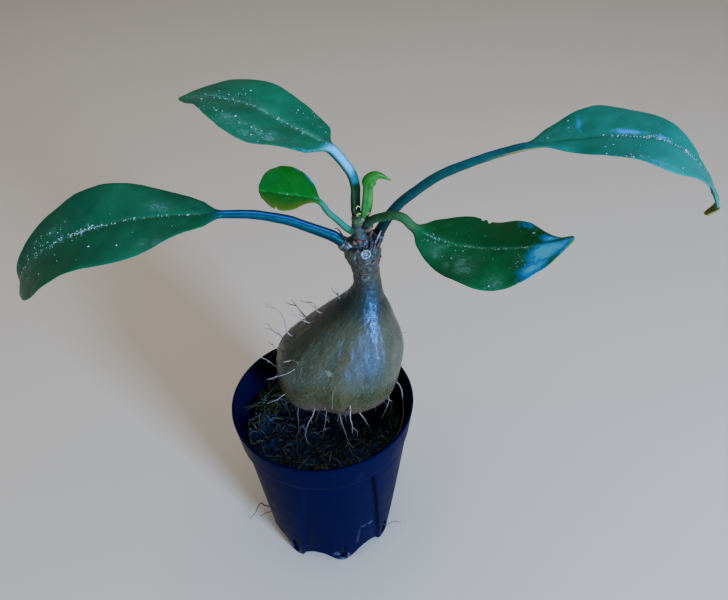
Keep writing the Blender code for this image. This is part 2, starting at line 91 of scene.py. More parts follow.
# Painted shade: dark lines where panels meet columns, for the shaded side walls of the panels; the last one
# is the shaded side of the left panel. Bearing and height of both ends, half-width
PAINTED_PANEL_SHADE = [((RECESS_BEARING + RECESS_HALF_TOP + 1.1 + 90 * k, 51.5),
                (RECESS_BEARING + RECESS_HALF_FOOT + 1.0 + 90 * k, 5), 0.4) for k in range(3)]
PAINTED_PANEL_SHADE += [((-52, 50), (-63, 7), 1.5)]

STUMP = (6.8, 7.5)      # where the caudex's root stump goes down into the soil
STUMP_HOLE = 6.6
STUMP_FOOT = 44.0

BLADE_THICKNESS = 0.7
RIB_DEPTH = 1.0
VEIN_SPACING = 7.5      # between side veins along the midrib, about
STALK_ROWS, BLADE_ROWS = 56, 150
HALF_COUNT = 25         # columns of points from the midrib to an edge

# Rows of the caudex: height, centre x, centre y, half-width across, half-depth front to back
CAUDEX_ROWS = [
    (44.0, 7.0, 7.5, 5.2, 5.2), (50.0, 6.8, 7.5, 5.9, 5.9), (55.5, 6.3, 7.5, 6.3, 6.3),
    (58.6, 5.9, 7.5, 8.6, 7.8), (60.0, 5.6, 7.5, 12.6, 10.8), (62.0, 5.4, 7.5, 16.4, 13.8),
    (65.5, 5.2, 7.5, 19.4, 16.4), (70.0, 5.3, 7.5, 20.9, 17.6), (75.0, 5.8, 7.4, 21.0, 17.8),
    (80.0, 6.8, 7.3, 19.9, 17.0), (85.0, 8.6, 7.2, 17.4, 15.2), (89.5, 10.4, 7.1, 14.4, 12.9),
    (94.0, 12.2, 7.0, 11.2, 10.4), (98.0, 13.8, 7.0, 8.0, 7.8), (102.0, 15.0, 7.0, 5.4, 5.4),
    (106.0, 15.6, 7.0, 4.25, 4.25), (109.5, 15.4, 7.0, 4.05, 4.05), (113.4, 14.9, 7.0, 4.45, 4.4),
    (116.4, 14.6, 7.0, 4.8, 4.6), (118.8, 14.4, 7.0, 4.5, 4.4), (120.8, 14.3, 7.0, 3.7, 3.7),
    (122.6, 14.2, 7.0, 2.75, 2.75), (124.4, 13.8, 7.0, 2.15, 2.2), (126.3, 13.7, 7.0, 2.0, 2.1),
    (128.2, 14.0, 7.0, 2.25, 2.25), (129.4, 14.3, 7.0, 2.0, 2.1),
]
CROWN_TOP = (14.3, 7.0, 130.0)
CREASE_BEARING = 257
BARK_START = 103.0      # height where bark begins on the neck,
BARK_ROUGH = 112.0      # where it is rough,
YOUNG_STEM = 121.5      # and where the smooth green stem begins, with its two nodes
STEM_NODES = (124.9, 128.6)
GRAIN_RADIUS = 15.0     # the bark's streaks are drawn on a cylinder of this radius,
GRAIN_LENGTH = 0.2      # with lengths along the stem multiplied by this
FINE_STEPS = np.linspace(0, 1, 9)[None, :, None]   # along a side root, hair or root underneath
HAIR_HEIGHTS = (60, 84)  # short root hairs stand on the flank between these heights

# Cushions that the two oldest petioles stand on: path points and radii
CUSHIONS = [
    ([(13.4, 7, 116.4), (10.8, 7, 118.8), (8.5, 6.9, 120.7)], (3.1, 2.4, 1.85)),
    ([(15.6, 7, 115.8), (17.1, 7.1, 119.4), (19.1, 7.4, 123.3)], (3.1, 2.4, 1.75)),
]

# Round scars of old leaves on the crown and neck: middle, radius of the ring
LEAF_SCARS = [((15.5, 2.6, 119.1), 1.25), ((18.9, 8.6, 115.4), 1.1), ((10.6, 9.0, 116.0), 1.1),
              ((16.0, 11.2, 117.0), 1.1), ((13.2, 10.6, 109.5), 0.9)]
PALE_SCAR = (3.6, -7.6, 82.3)
NECK_SCAR = (15.3, 3.0, 110.1)

# Loose rootlets: path points, the first one well inside the caudex
ROOTLETS = [
    [(-4, 7, 83), (-9, 6, 86), (-11, 4, 97), (-15, 3, 102)],
    [(5, 8, 92), (0, 6, 96), (-1.5, 5, 100), (-3.5, 4, 101)],
    [(1, 8, 88), (-3, 6, 91.5), (-6, 3, 95.5), (-7.5, 2, 98)],
    [(-6, 7, 80), (-11, 6, 84), (-13.5, 5, 88), (-17, 4, 91)],
    [(-8, 6, 77), (-12.5, 5, 80.5), (-14.5, 4, 83), (-14.5, 3, 86)],
    [(-9, 5, 71), (-15, 4, 74), (-18, 3, 79), (-22.5, 2, 81)],
    [(-1, 2, 82), (-5.5, -5, 85), (-7.5, -8, 88.5), (-9.5, -9.5, 89.5)],
    [(-3, 2, 80), (-8, -5, 81.5), (-12, -8, 82), (-15, -9, 81.5)],
    [(-5, 2, 70), (-11, -4, 70), (-14, -6, 69), (-17.5, -7, 68.5)],
    [(-6, 2, 66), (-8, -5, 62.5), (-8, -7, 57), (-7.5, -7.5, 51)],
    [(0, 0, 70), (-2.5, -7.5, 65), (-5.5, -9.5, 57), (-4.5, -10.5, 52.6), (-2.6, -11, 51)],
    [(3, 0, 68), (1.5, -7, 63), (0.5, -8.5, 57), (-0.5, -9, 51)],
    [(5, 0, 67), (6, -7.5, 62), (8, -11.5, 57), (9.5, -15, 53.8), (12.5, -17.5, 52.6), (15, -17, 51)],
    [(9, 0, 73), (9.5, -9, 71), (9.5, -11.5, 65), (9.5, -11.5, 59)],
    [(10, 2, 68), (12.5, -6, 63), (15, -7, 57.5), (17, -6.5, 51.5)],
    [(20, 5, 68), (25.3, 3, 66.5), (26.6, 0.5, 62), (26.4, -3, 57.5), (25.2, -6, 54), (23.5, -8, 51)],
    [(17, 4, 68), (22, -1.5, 63), (20.5, -4, 60.5), (19, -5, 58)],
    [(9, 8, 98), (6.5, 6.5, 101), (5, 6, 104), (5.5, 5.5, 105.5)],
    [(9, 15, 74), (3, 24.5, 73), (0, 25.5, 66), (-1, 24.5, 57.5), (-1, 23, 51)],
    [(14, 14, 70), (18, 20, 66), (18.4, 18.6, 59), (17.8, 17, 51)],
    [(0, 14, 80), (-7, 20.5, 83), (-10.5, 22, 88)],
]

# Leaves. stalk: petiole points from inside the crown to the blade, with the radius at both
# ends. vein: midrib points. far and near: half-widths of the blade's two sides at equal steps
# from base to tip. roll drops the near side, keel lifts both sides, wave ripples the edges.
# bites: small gaps in the edge as side, place along, half-width along, depth. mellow: how olive the
# petiole is. warm: how yellowish the far and the near half are. The painted sheen (a bluish
# reflection of the window, painted into the blade's colour) and haze (dried water): soft patches as
# place along, place across, their half-sizes, amount. The painted gleam (a bluish highlight painted
# along the petiole): where it begins, the middle and half-width of its strip in radians, amount.
# crust: crumbs of dried hard water, from and to along the midrib, place across, spread, count.
# tones: deep, fresh, yellowish, rib, browned and, on the petiole, the bluish colour of the painted
# highlight.
LEAVES = {
    "leaf_left": dict(
        slot="leaf", seed=101, tones=("04482a", "055c38", "023a28", "2f6e50", "4a4a1c", "3f98d8"),
        stalk=[(10.9, 7, 119.0), (8.5, 6.9, 121.0), (6.6, 6.7, 122.6), (2.7, 6.3, 124.8),
               (-1.3, 5.8, 126.9), (-5.2, 5.4, 128.9), (-9.1, 4.7, 130.4), (-14.5, 3.7, 132.1)],
        stalk_radii=(1.7, 1.15),
        vein=[(-21.6, 2, 133.4), (-34.5, -0.5, 134.8), (-47.3, -3.8, 135.2), (-59.9, -6.8, 133.2),
              (-71, -9, 127.6), (-75.8, -9.6, 122.4), (-77.2, -9.6, 117)],
        far=(1.3, 4.9, 9.1, 12.0, 13.5, 14.4, 14.6, 13.2, 9.5, 3.9, 0.7),
        near=(1.5, 5.8, 9.4, 12.3, 14.2, 15.3, 15.6, 15.4, 14.0, 10.0, 1.2),
        roll=-12, keel=5, wave=(0.9, 2.2, 0.4),
        bites=(), mellow=0.0, painted_gleam=(-0.1, 1.95, 0.16, 0.5), warm=(0.25, 0.1),
        painted_sheen=((0.03, 0.8, 0.04, 0.5, 0.5),),
        haze=((0.26, 0.33, 0.06, 0.2, 0.6), (0.3, -0.85, 0.07, 0.15, 0.5), (0.68, 0.25, 0.08, 0.3, 0.4),
              (0.87, 0.0, 0.12, 0.9, 0.4)),
        crust=((0.1, 0.5, 0.0, 0.03, 60), (0.5, 0.95, 0.0, 0.06, 90), (0.5, 0.66, 0.03, 0.06, 130),
               (0.62, 0.85, 0.1, 0.2, 70), (0.72, 0.84, 0.3, 0.1, 16), (0.1, 0.9, -0.3, 0.3, 22))),
    "leaf_upper": dict(
        slot="leaf", seed=111, tones=("045236", "086c4a", "103d10", "3f9a78", "4a4a1c", "16c4ee"),
        stalk=[(13.6, 7.6, 126.6), (12.9, 8.3, 129.6), (12.8, 9.2, 132.9), (12.9, 10.2, 136),
               (12.1, 11.4, 139.3), (9.9, 12.7, 142.4)],
        stalk_radii=(1.3, 1.45),
        vein=[(7.1, 14, 145.4), (-1.1, 17.6, 149.3), (-9.3, 21.4, 152.3), (-17.9, 25.4, 154.6),
              (-27.1, 28.8, 155.2), (-36.6, 31, 154.0)],
        far=(1.6, 7.0, 10.1, 11.4, 11.9, 12.1, 12.4, 12.5, 11.2, 7.0, 0.6),
        near=(4.6, 8.6, 11.6, 14.4, 15.6, 15.3, 14.1, 12.0, 8.8, 5.0, 0.6),
        roll=-2, keel=3, wave=(0.8, 1.7, 1.1),
        bites=(), mellow=0.9, painted_gleam=(0.5, 2.2, 0.85, 0.9), warm=(0.0, 0.0),
        painted_sheen=((0.0, -0.3, 0.03, 0.6, 0.7), (0.1, -0.9, 0.1, 0.15, 0.5)),
        haze=((0.3, -0.75, 0.14, 0.25, 0.9), (0.52, -0.7, 0.09, 0.2, 0.75), (0.14, 0.03, 0.16, 0.1, 0.95),
              (0.62, 0.05, 0.2, 0.14, 0.6), (0.86, -0.2, 0.06, 0.5, 0.6)),
        crust=((0.05, 0.75, 0.0, 0.06, 80), (0.6, 0.95, 0.1, 0.25, 60), (0.3, 0.75, -0.7, 0.12, 50),
               (0.1, 0.35, 0.7, 0.12, 20))),
    "leaf_right": dict(
        # the right leaf's teal tones hold a painted bluish sheen on top of its green
        slot="leaf", seed=121, tones=("046450", "087868", "0a948e", "165a4c", "8a8440", "58b8d8"),
        stalk=[(18.1, 7.3, 121.4), (19.4, 7.4, 123.8), (22.1, 7.9, 128.5), (24.8, 8.1, 132.0),
               (28.9, 8.2, 135.6), (34.9, 8, 140.3), (43, 7.5, 144.3), (50, 7, 147.1)],
        stalk_radii=(1.5, 1.1),
        vein=[(55.7, 6, 149.2), (67, 3.9, 152.0), (78.4, 1.9, 153.8), (89.8, -0.3, 152.6),
              (97.5, -1.8, 147.6), (102.6, -3.4, 141.4), (104.4, -4.2, 137.6), (101.9, -4.9, 135.3)],
        far=(1.5, 6.4, 10.3, 12.8, 13.4, 12.2, 8.6, 4.6, 3.2, 2.8, 1.0),
        near=(1.2, 2.2, 5.0, 8.6, 11.5, 12.9, 11.9, 9.0, 6.4, 4.8, 1.2),
        roll=-7, keel=3, wave=(0.8, 2.6, 2.3),
        bites=((1, 0.74, 0.013, 1.0),), mellow=0.3, painted_gleam=(0.0, 1.9, 0.3, 0.1), warm=(0.0, 0.25),
        painted_sheen=((0.235, 0.5, 0.016, 0.4, 0.62), (0.42, 0.12, 0.09, 0.1, 0.75), (0.55, 0.1, 0.05, 0.1, 0.65),
               (0.5, -0.88, 0.16, 0.12, 0.5)),
        haze=((0.12, 0.4, 0.05, 0.3, 0.3),),
        crust=((0.05, 0.2, 0.3, 0.2, 16), (0.32, 0.85, 0.02, 0.04, 150), (0.5, 0.6, 0.07, 0.05, 120),
               (0.64, 0.72, 0.03, 0.05, 60), (0.3, 0.7, -0.85, 0.1, 26), (0.1, 0.9, 0.0, 0.5, 20))),
    "leaf_lower_right": dict(
        slot="leaf", seed=131, tones=("034620", "056a38", "03440c", "3a8a62", "4a4a1c", "58b8d8"),
        stalk=[(13.9, 6.9, 125.6), (15.9, 5.5, 127.7), (17.7, 4.0, 129.8), (19.8, 2.0, 131.7),
               (21.8, 0.0, 133.3), (23.8, -1.6, 134.3), (25.7, -2.6, 134.0)],
        stalk_radii=(1.15, 1.25),
        vein=[(27.5, -3.4, 132.4), (34.6, -7.3, 130.2), (42.3, -11.1, 130.5), (50.1, -14.3, 131.9),
              (57.7, -17.3, 134.5), (64.4, -20, 138.6)],
        far=(1.6, 6.9, 9.8, 11.6, 12.2, 11.9, 12.1, 10.2, 6.4, 3.2, 0.7),
        near=(1.6, 4.8, 8.1, 11.4, 14.0, 15.3, 15.0, 13.4, 11.2, 8.9, 0.7),
        roll=-6, keel=0, wave=(0.7, 2.1, 3.4),
        bites=((1, 0.39, 0.011, 0.8), (1, 0.44, 0.013, 1.0)), mellow=1.0, painted_gleam=(0.3, 1.9, 0.6, 0.0),
        warm=(0.75, 0.2),
        painted_sheen=((0.86, -0.3, 0.12, 0.45, 1.35), (0.81, -0.75, 0.1, 0.35, 1.1), (0.95, -0.4, 0.07, 0.6, 1.0),
               (0.86, 0.5, 0.07, 0.35, 1.0), (0.7, 0.85, 0.1, 0.25, 0.6)),
        haze=((0.7, -0.35, 0.03, 0.14, 0.7), (0.22, -0.5, 0.06, 0.3, 0.8), (0.42, -0.55, 0.07, 0.3, 0.85),
              (0.6, -0.8, 0.05, 0.15, 0.8), (0.33, -0.75, 0.03, 0.12, 0.8)),
        crust=((0.1, 0.75, 0.0, 0.03, 60), (0.1, 0.4, -0.1, 0.2, 30), (0.65, 0.8, -0.4, 0.2, 26),
               (0.1, 0.9, 0.0, 0.6, 24))),
    "leaf_young": dict(
        slot="young_leaf", seed=151, tones=("094a0c", "0f5f14", "245a0c", "2f8a3a", "4f5a14", "0a7866"),
        stalk=[(13.7, 6.6, 123.0), (12.2, 5.7, 124.6), (10.1, 4.6, 126.9), (8.1, 3.5, 129.9),
               (5.6, 2.2, 133.5)],
        stalk_radii=(1.0, 0.8),
        vein=[(3.9, 1.2, 137), (-0.7, -0.9, 139.9), (-5, -2.9, 141.9), (-10.4, -5, 143.9)],
        far=(1.2, 5.2, 7.8, 8.9, 9.4, 9.2, 8.8, 8.0, 7.0, 5.4, 2.0),
        near=(0.9, 1.2, 1.8, 2.7, 3.7, 4.7, 5.6, 6.3, 6.5, 5.8, 2.2),
        roll=-20, keel=8, wave=(0.2, 1.5, 0.0),
        bites=((-1, 0.82, 0.02, 0.9),), mellow=1.0, painted_gleam=(0.25, 2.1, 1.3, 0.7), warm=(0.0, 0.3),
        painted_sheen=((0.12, 0.95, 0.12, 0.2, 0.75), (0.3, 1.0, 0.15, 0.12, 0.5)), haze=(),
        crust=((0.2, 0.6, 0.2, 0.2, 3),)),
}
SHOOT_PATH = [(14.8, 6.5, 127.6), (15.4, 6.3, 129.8), (16.0, 6.2, 132.6), (16.3, 6.2, 135.6),
              (16.5, 6.2, 138.6), (17.0, 6.2, 140.7), (18.4, 6.2, 141.8), (20.1, 6.2, 141.7),
              (21.3, 6.2, 141.1), (22.3, 6.2, 140.5)]
SHOOT_RADII = (0.8, 1.05, 1.45, 1.5, 1.45, 1.4, 1.25, 0.9, 0.5, 0.2)

# Dry scales, bud knobs and edges of old leaf bases on the crown: path points, half-width,
# half-thickness, tone (0 black brown, 0.5 pink brown, 1 bluish white), how green
SCALES = [
    ([(9.8, 5.9, 122.6), (9.1, 5.2, 123.6), (8.4, 5.0, 125.5), (7.3, 4.8, 126.7), (6.9, 4.9, 126.3)],
     0.24, 0.2, 0, 0),
    ([(10.4, 6.2, 122.2), (9.6, 4.9, 123.0), (9.0, 4.6, 124.4)], 0.5, 0.2, 0.1, 0),
    ([(12.9, 5.6, 121.6), (12.3, 4.4, 122.0), (12.1, 3.7, 122.4)], 0.85, 0.55, 0.42, 0),
    ([(13.9, 5.4, 122.2), (13.7, 4.2, 122.6), (13.6, 3.5, 122.8)], 0.9, 0.6, 0.46, 0),
    ([(14.9, 5.4, 121.8), (14.9, 4.3, 122.2), (15.0, 3.6, 122.3)], 0.8, 0.55, 0.4, 0),
    ([(15.4, 5.0, 120.6), (15.6, 3.9, 121.1), (15.7, 3.2, 121.3)], 0.5, 0.4, 0.55, 0),
    ([(11.6, 5.0, 120.6), (10.9, 4.0, 121.2), (10.4, 3.9, 122.4)], 0.55, 0.3, 0.8, 0),
    ([(12.2, 4.3, 119.2), (12.9, 3.3, 119.7), (13.8, 3.0, 119.9)], 0.5, 0.4, 0.35, 0),
    ([(15.2, 6.6, 124.6), (16.3, 5.9, 125.6), (17.3, 5.3, 126.5)], 1.05, 0.85, 0.5, 0.1),
    ([(16.4, 5.6, 123.4), (17.0, 4.9, 124.6), (17.2, 4.8, 125.7)], 0.5, 0.4, 0.42, 0),
    ([(17.9, 5.2, 121.0), (18.6, 4.9, 122.6), (19.2, 4.9, 124.2), (19.8, 5.2, 125.5)], 0.8, 0.2, 0.75, 0),
    ([(17.8, 4.5, 119.2), (18.8, 4.7, 120.8), (19.7, 5.3, 122.4)], 0.3, 0.14, 0.5, 0),
    ([(17.1, 3.6, 118.8), (17.8, 3.8, 120.4), (18.3, 4.4, 121.8)], 0.3, 0.14, 0.45, 0),
    ([(16.3, 3.2, 119.8), (16.9, 3.5, 121.6), (17.3, 4.1, 123.2)], 0.42, 0.3, 0.05, 0),
    ([(18.6, 6.2, 114.9), (19.3, 6.0, 115.4), (19.9, 6.0, 116.2)], 0.24, 0.2, 0.2, 0),
    ([(13.1, 6.3, 131.6), (13.2, 6.0, 132.5), (13.6, 5.9, 132.9), (14.0, 6.1, 132.3)], 0.2, 0.16, 1, 1),
    ([(13.2, 5.3, 129.9), (13.4, 4.8, 130.9), (13.9, 4.8, 131.2), (14.3, 5.2, 130.7)], 0.24, 0.18, 1, 1),
    ([(15.9, 5.4, 130.2), (16.2, 4.9, 131.1), (16.6, 4.9, 131.3), (16.9, 5.3, 130.6)], 0.24, 0.18, 1, 0.9),
    # this black brown scale is painted shade, put in the dark gap at the foot of the upper petiole
    ([(13.0, 6.4, 129.8), (12.4, 6.4, 131.0), (12.4, 6.6, 132.2)], 0.5, 0.3, 0, 0.1),
    ([(14.4, 5.4, 128.2), (14.6, 4.9, 128.9), (14.7, 4.9, 129.8)], 0.55, 0.25, 0.25, 0.3),
    ([(17.2, 3.6, 117.4), (17.9, 3.9, 118.2), (18.2, 4.2, 119.0)], 0.28, 0.22, 0.62, 0),
    ([(16.9, 3.0, 115.4), (17.6, 3.3, 116.0), (18.3, 4.0, 116.3)], 0.24, 0.2, 0.55, 0),
    ([(14.6, 2.7, 116.2), (15.4, 2.4, 116.0), (16.2, 2.6, 116.4)], 0.2, 0.18, 0.6, 0),
    ([(13.4, 3.0, 118.0), (13.9, 2.6, 117.3), (14.6, 2.4, 117.2)], 0.2, 0.16, 0.62, 0),
    ([(15.9, 2.8, 113.9), (16.6, 3.0, 113.6), (17.3, 3.4, 113.8)], 0.22, 0.18, 0.5, 0),
    ([(14.2, 2.8, 112.4), (15.0, 2.6, 112.2), (15.9, 2.8, 112.3)], 0.2, 0.16, 0.5, 0),
    ([(12.6, 10.2, 121.2), (12.1, 11.0, 122.9), (11.7, 11.5, 124.2)], 0.7, 0.25, 0.3, 0),
    ([(16.4, 10.2, 121.4), (16.9, 10.8, 122.9), (17.3, 11.3, 124.0)], 0.7, 0.25, 0.7, 0),
    ([(14.4, 10.6, 120.4), (14.5, 11.2, 121.6), (14.4, 11.6, 122.8)], 0.8, 0.3, 0.15, 0),
]

# Threads of root that came out of the drain slots
DRAIN_THREADS = [
    [(-21.2, -4.8, 7.6), (-25.2, -3.8, 7.4), (-27.6, -1.4, 5.8), (-30, -3.4, 2.4), (-31.9, -4.9, 0.8)],
    [(-21.2, -5.2, 6.4), (-24.6, -5.0, 5.0), (-27.4, -4.2, 1.6), (-28.4, -3.4, 0.7)],
    [(18.6, -11.6, 6.6), (21.6, -11.4, 6.4), (23.6, -10.3, 6.0), (26.0, -9.9, 5.8)],
]


# shapes


def smooth(x):
    """A step from 0 at 0 to 1 at 1 with level ends: three squares less two cubes."""
    x = np.clip(x, 0.0, 1.0)
    return x * x * (3 - 2 * x)


def within(x, start, rise, end, fall):
    """1 from start to end and 0 outside, with smooth steps of the given widths inside the ends."""
    return smooth((x - start) / rise) * smooth((end - x) / fall)


def bell(x):
    """1 at 0, falling off on both sides: e to the power of minus the square."""
    return np.exp(-x**2)


def unit(vectors, tiny=0.0):
    """The same directions, each one long."""
    return vectors / (np.linalg.norm(vectors, axis=-1, keepdims=True) + tiny)


def run_along(points):
    """Length along a path, from 0 at its first point."""
    return np.concatenate([[0.0], np.cumsum(np.linalg.norm(np.diff(points, axis=0), axis=1))])


def round_turn(count):
    """Even steps round one turn, in radians."""
    return np.arange(count) * 2 * math.pi / count


def flow(points, count):
    """Points at even steps along a smooth curve through the given ones: cubic pieces whose slope
    at each point is the mean slope of its neighbours."""
    p = np.asarray(points, float)
    if p.ndim == 1:
        p = p[:, None]
    run = run_along(p) if p.shape[1] > 1 else np.arange(len(p), dtype=float)
    slope = np.gradient(p, run, axis=0)
    at = np.linspace(0.0, run[-1], count)
    i = np.clip(np.searchsorted(run, at, side="right") - 1, 0, len(p) - 2)
    span = (run[i + 1] - run[i])[:, None]
    x = (at - run[i])[:, None] / span
    return ((2 * x**3 - 3 * x**2 + 1) * p[i] + (x**3 - 2 * x**2 + x) * span * slope[i]
            + (3 * x**2 - 2 * x**3) * p[i + 1] + (x**3 - x**2) * span * slope[i + 1])


def relief(points, size, seed):
    """Smooth random relief from -1 to 1: random values stand at the corners of cubes of the given
    size, and inside a cube they are blended by smooth steps."""
    table = np.random.default_rng(seed).random((32, 32, 32)) * 2 - 1
    q = np.asarray(points, float) / size
    low = np.floor(q).astype(int)
    part = smooth(q - low)
    total = np.zeros(q.shape[:-1])
    for corner in np.ndindex(2, 2, 2):
        weight = np.prod(np.where(corner, part, 1 - part), axis=-1)
        i = (low + corner) % 32
        total += weight * table[i[..., 0], i[..., 1], i[..., 2]]
    return total


def ring_faces(rows, around):
    """Quads between closed rings that follow each other, and a fan at each end to the two points
    after them."""
    i, j = np.meshgrid(np.arange(rows - 1), np.arange(around), indexing="ij")
    k = (j + 1) % around
    quads = np.stack([i * around + j, i * around + k, (i + 1) * around + k, (i + 1) * around + j], -1)
    j, k = np.arange(around), (np.arange(around) + 1) % around
    last = (rows - 1) * around
    fans = np.concatenate([np.stack([np.full(around, rows * around), k, j], -1),
                           np.stack([np.full(around, rows * around + 1), last + j, last + k], -1)])
    return quads.reshape(-1, 4), fans


def piece(name, finish, points, faces, node=None, marks=None, sharp=None):
    """One object from points in millimetres. marks are numbers at the points for the finish."""
    mesh = bpy.data.meshes.new(name)
    mesh.from_pydata((np.asarray(points).reshape(-1, 3) * MM).tolist(), [],
                     [f for part in faces for f in part.tolist()])
    for mark, values in (marks or {}).items():
        values = np.asarray(values, np.float32)
        kind, entry = ("FLOAT_VECTOR", "vector") if values.ndim == 2 else ("FLOAT", "value")
        mesh.attributes.new(mark, kind, "POINT").data.foreach_set(entry, values.ravel())
    mesh.materials.append(finish)
    mesh.shade_smooth()
    if sharp:
        mesh.set_sharp_from_angle(angle=math.radians(sharp))
    made = bpy.data.objects.new(name, mesh)
    bpy.context.scene.collection.objects.link(made)
    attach(made, "root")
    if node:
        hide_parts(node)
    return made


def capped(marks):
    """Marks given in rings, as flat lists with the values for the two end points added."""
    flat = {name: np.asarray(mark, float) for name, mark in marks.items()}
    flat = {name: mark.reshape(-1, *mark.shape[2:]) for name, mark in flat.items()}
    return {name: np.concatenate([mark, mark[[0, -1]]]) for name, mark in flat.items()}


def skin(rings, start, end):
    """Points and faces of a closed skin over rings, with one point at each end."""
    rows, around = rings.shape[:2]
    return np.concatenate([rings.reshape(-1, 3), [start, end]]), ring_faces(rows, around)


def joined(skins):
    """Points and faces of several skins as those of one."""
    starts = np.cumsum([0] + [len(points) for points, _ in skins])
    faces = [np.concatenate([some[kind] + start for (_, some), start in zip(skins, starts)])
             for kind in (0, 1)]
    return np.concatenate([points for points, _ in skins]), faces


def push_out(rings, amount):
    """Moves each point along the skin's own normal: the cross product of the step round the ring
    and the step to the next ring."""
    across = np.roll(rings, -1, axis=1) - np.roll(rings, 1, axis=1)
    along = np.gradient(rings, axis=0)
    return rings + unit(np.cross(across, along), 1e-9) * amount[..., None]


def strands(paths, width, thick, sides, face=None):
    """Many closed strands at once: at each step of a path stands an oval ring of the given
    half-width and half-thickness, square to the path, and a point closes each end. face is the
    way that the flat side of an oval looks."""
    count, steps = paths.shape[:2]
    tangent = unit(np.gradient(paths, axis=1), 1e-9)
    if face is None:
        face = np.eye(3)[np.abs(tangent).max(axis=1).argmin(axis=1)]
    side = unit(np.cross(tangent, face[:, None]), 1e-9)
    up = np.cross(tangent, side)
    turn = round_turn(sides)
    rings = (paths[:, :, None] + (width[..., None] * np.cos(turn))[..., None] * side[:, :, None]
             + (thick[..., None] * np.sin(turn))[..., None] * up[:, :, None])
    ends = np.stack([paths[:, 0] - tangent[:, 0] * thick[:, :1] * 0.6,
                     paths[:, -1] + tangent[:, -1] * thick[:, -1:] * 0.6], 1)
    points = np.concatenate([rings.reshape(count, -1, 3), ends], 1)
    shift = (np.arange(count) * points.shape[1])[:, None, None]
    quads, fans = ring_faces(steps, sides)
    return points, ((quads + shift).reshape(-1, 4), (fans + shift).reshape(-1, 3))


def arch(bearing):
    """Height of the pot's lower edge: 0 at a foot, full between two feet."""
    from_foot = np.abs((bearing - RECESS_BEARING + 22.5) % 45 - 22.5)
    return ARCH_HEIGHT * smooth((from_foot - FOOT_HALF_ANGLE) / ARCH_RISE)


def pot_bearings(height):
    """Bearings of the stations round the pot at one height, how far each is let into a panel, and
    its place across the panel from -1 to 1. A quarter has a panel, its side, a column and the next
    panel's side."""
    half = RECESS_HALF_FOOT + (RECESS_HALF_TOP - RECESS_HALF_FOOT) * np.clip(height / COLLAR_FOOT, 0, 1)
    edge = np.array([0.2, 0.4, 0.6, 0.8])
    column = 45 - half - RECESS_EDGE
    off = np.concatenate([np.linspace(-1, 1, 61) * half, half + edge * RECESS_EDGE,
                          45 + np.linspace(-1, 1, 21) * column, 90 - half - edge[::-1] * RECESS_EDGE])
    from_middle = (off + 45) % 90 - 45
    sunk = smooth((half + RECESS_EDGE - np.abs(from_middle)) / RECESS_EDGE)
    place = np.clip(from_middle / half, -1, 1)
    bearings = (RECESS_BEARING + off + np.arange(4)[:, None] * 90).ravel()
    return bearings, np.tile(sunk, 4), np.tile(place, 4)


def pot_ring(height, inset, rise=0.0):
    """One ring of the pot's side: a cone that narrows downwards, with the step under its collar and
    four panels, let in along their sides and bulging in the middle. rise (0 to 1) bends the ring
    over the arches between the feet."""
    bearing, recessed, place = pot_bearings(height)
    level = height + rise * arch(bearing)
    cone = BASE_RADIUS + (MOUTH_RADIUS - BASE_RADIUS) * level / POT_HEIGHT
    high = np.clip(level / COLLAR_FOOT, 0, 1)
    below = COLLAR_STEP * high * smooth((COLLAR_FOOT - level) / 0.8)
    panel = RECESS_DEPTH * place**2 + PANEL_SINK * high * (1 - place**2)
    radius = cone - below - panel * recessed * smooth((COLLAR_FOOT - 0.9 - level) / 0.9) - inset
    turn = np.radians(bearing)
    return np.stack([radius * np.sin(turn), -radius * np.cos(turn), level], -1)


def base_ring(radius, lift):
    """One ring of the raised base: flat in the middle, arched towards the edge."""
    turn = np.radians(pot_bearings(3.0)[0])
    level = arch(np.degrees(turn)) * smooth((radius - FLAT_DISC) / 9.0) + lift
    return np.stack([radius * np.sin(turn), -radius * np.cos(turn), level], -1)


def worn_places(round_pot, height):
    """Scuffs on the pot: each fades with the distance from a short line on the unrolled side."""
    worn = np.zeros(len(height))
    for (b0, z0), (b1, z1), wide, deep in POT_SCUFFS:
        line = np.array([(b1 - b0) * ARC, z1 - z0])
        off = np.stack([(round_pot - b0) * ARC, height - z0], -1)
        part = np.clip(off @ line / (line @ line), 0, 1)
        off = np.linalg.norm(off - part[:, None] * line, axis=1)
        worn = np.maximum(worn, deep * bell(off / wide))
    return worn


def painted_panel_shade(round_pot, height):
    """Painted shade along the panel edges: each dark line fades with the distance from its line and towards
    both ends.
    """
    crease = np.zeros(len(height))
    for (b0, z0), (b1, z1), wide in PAINTED_PANEL_SHADE:
        middle = b0 + (b1 - b0) * (height - z0) / (z1 - z0)
        off = ((round_pot - middle + 180) % 360 - 180) * PANEL_ARC
        reach = within(height, z1, 3, z0, 2)
        crease = np.maximum(crease, 0.95 * bell(off / wide) * reach)
    return crease


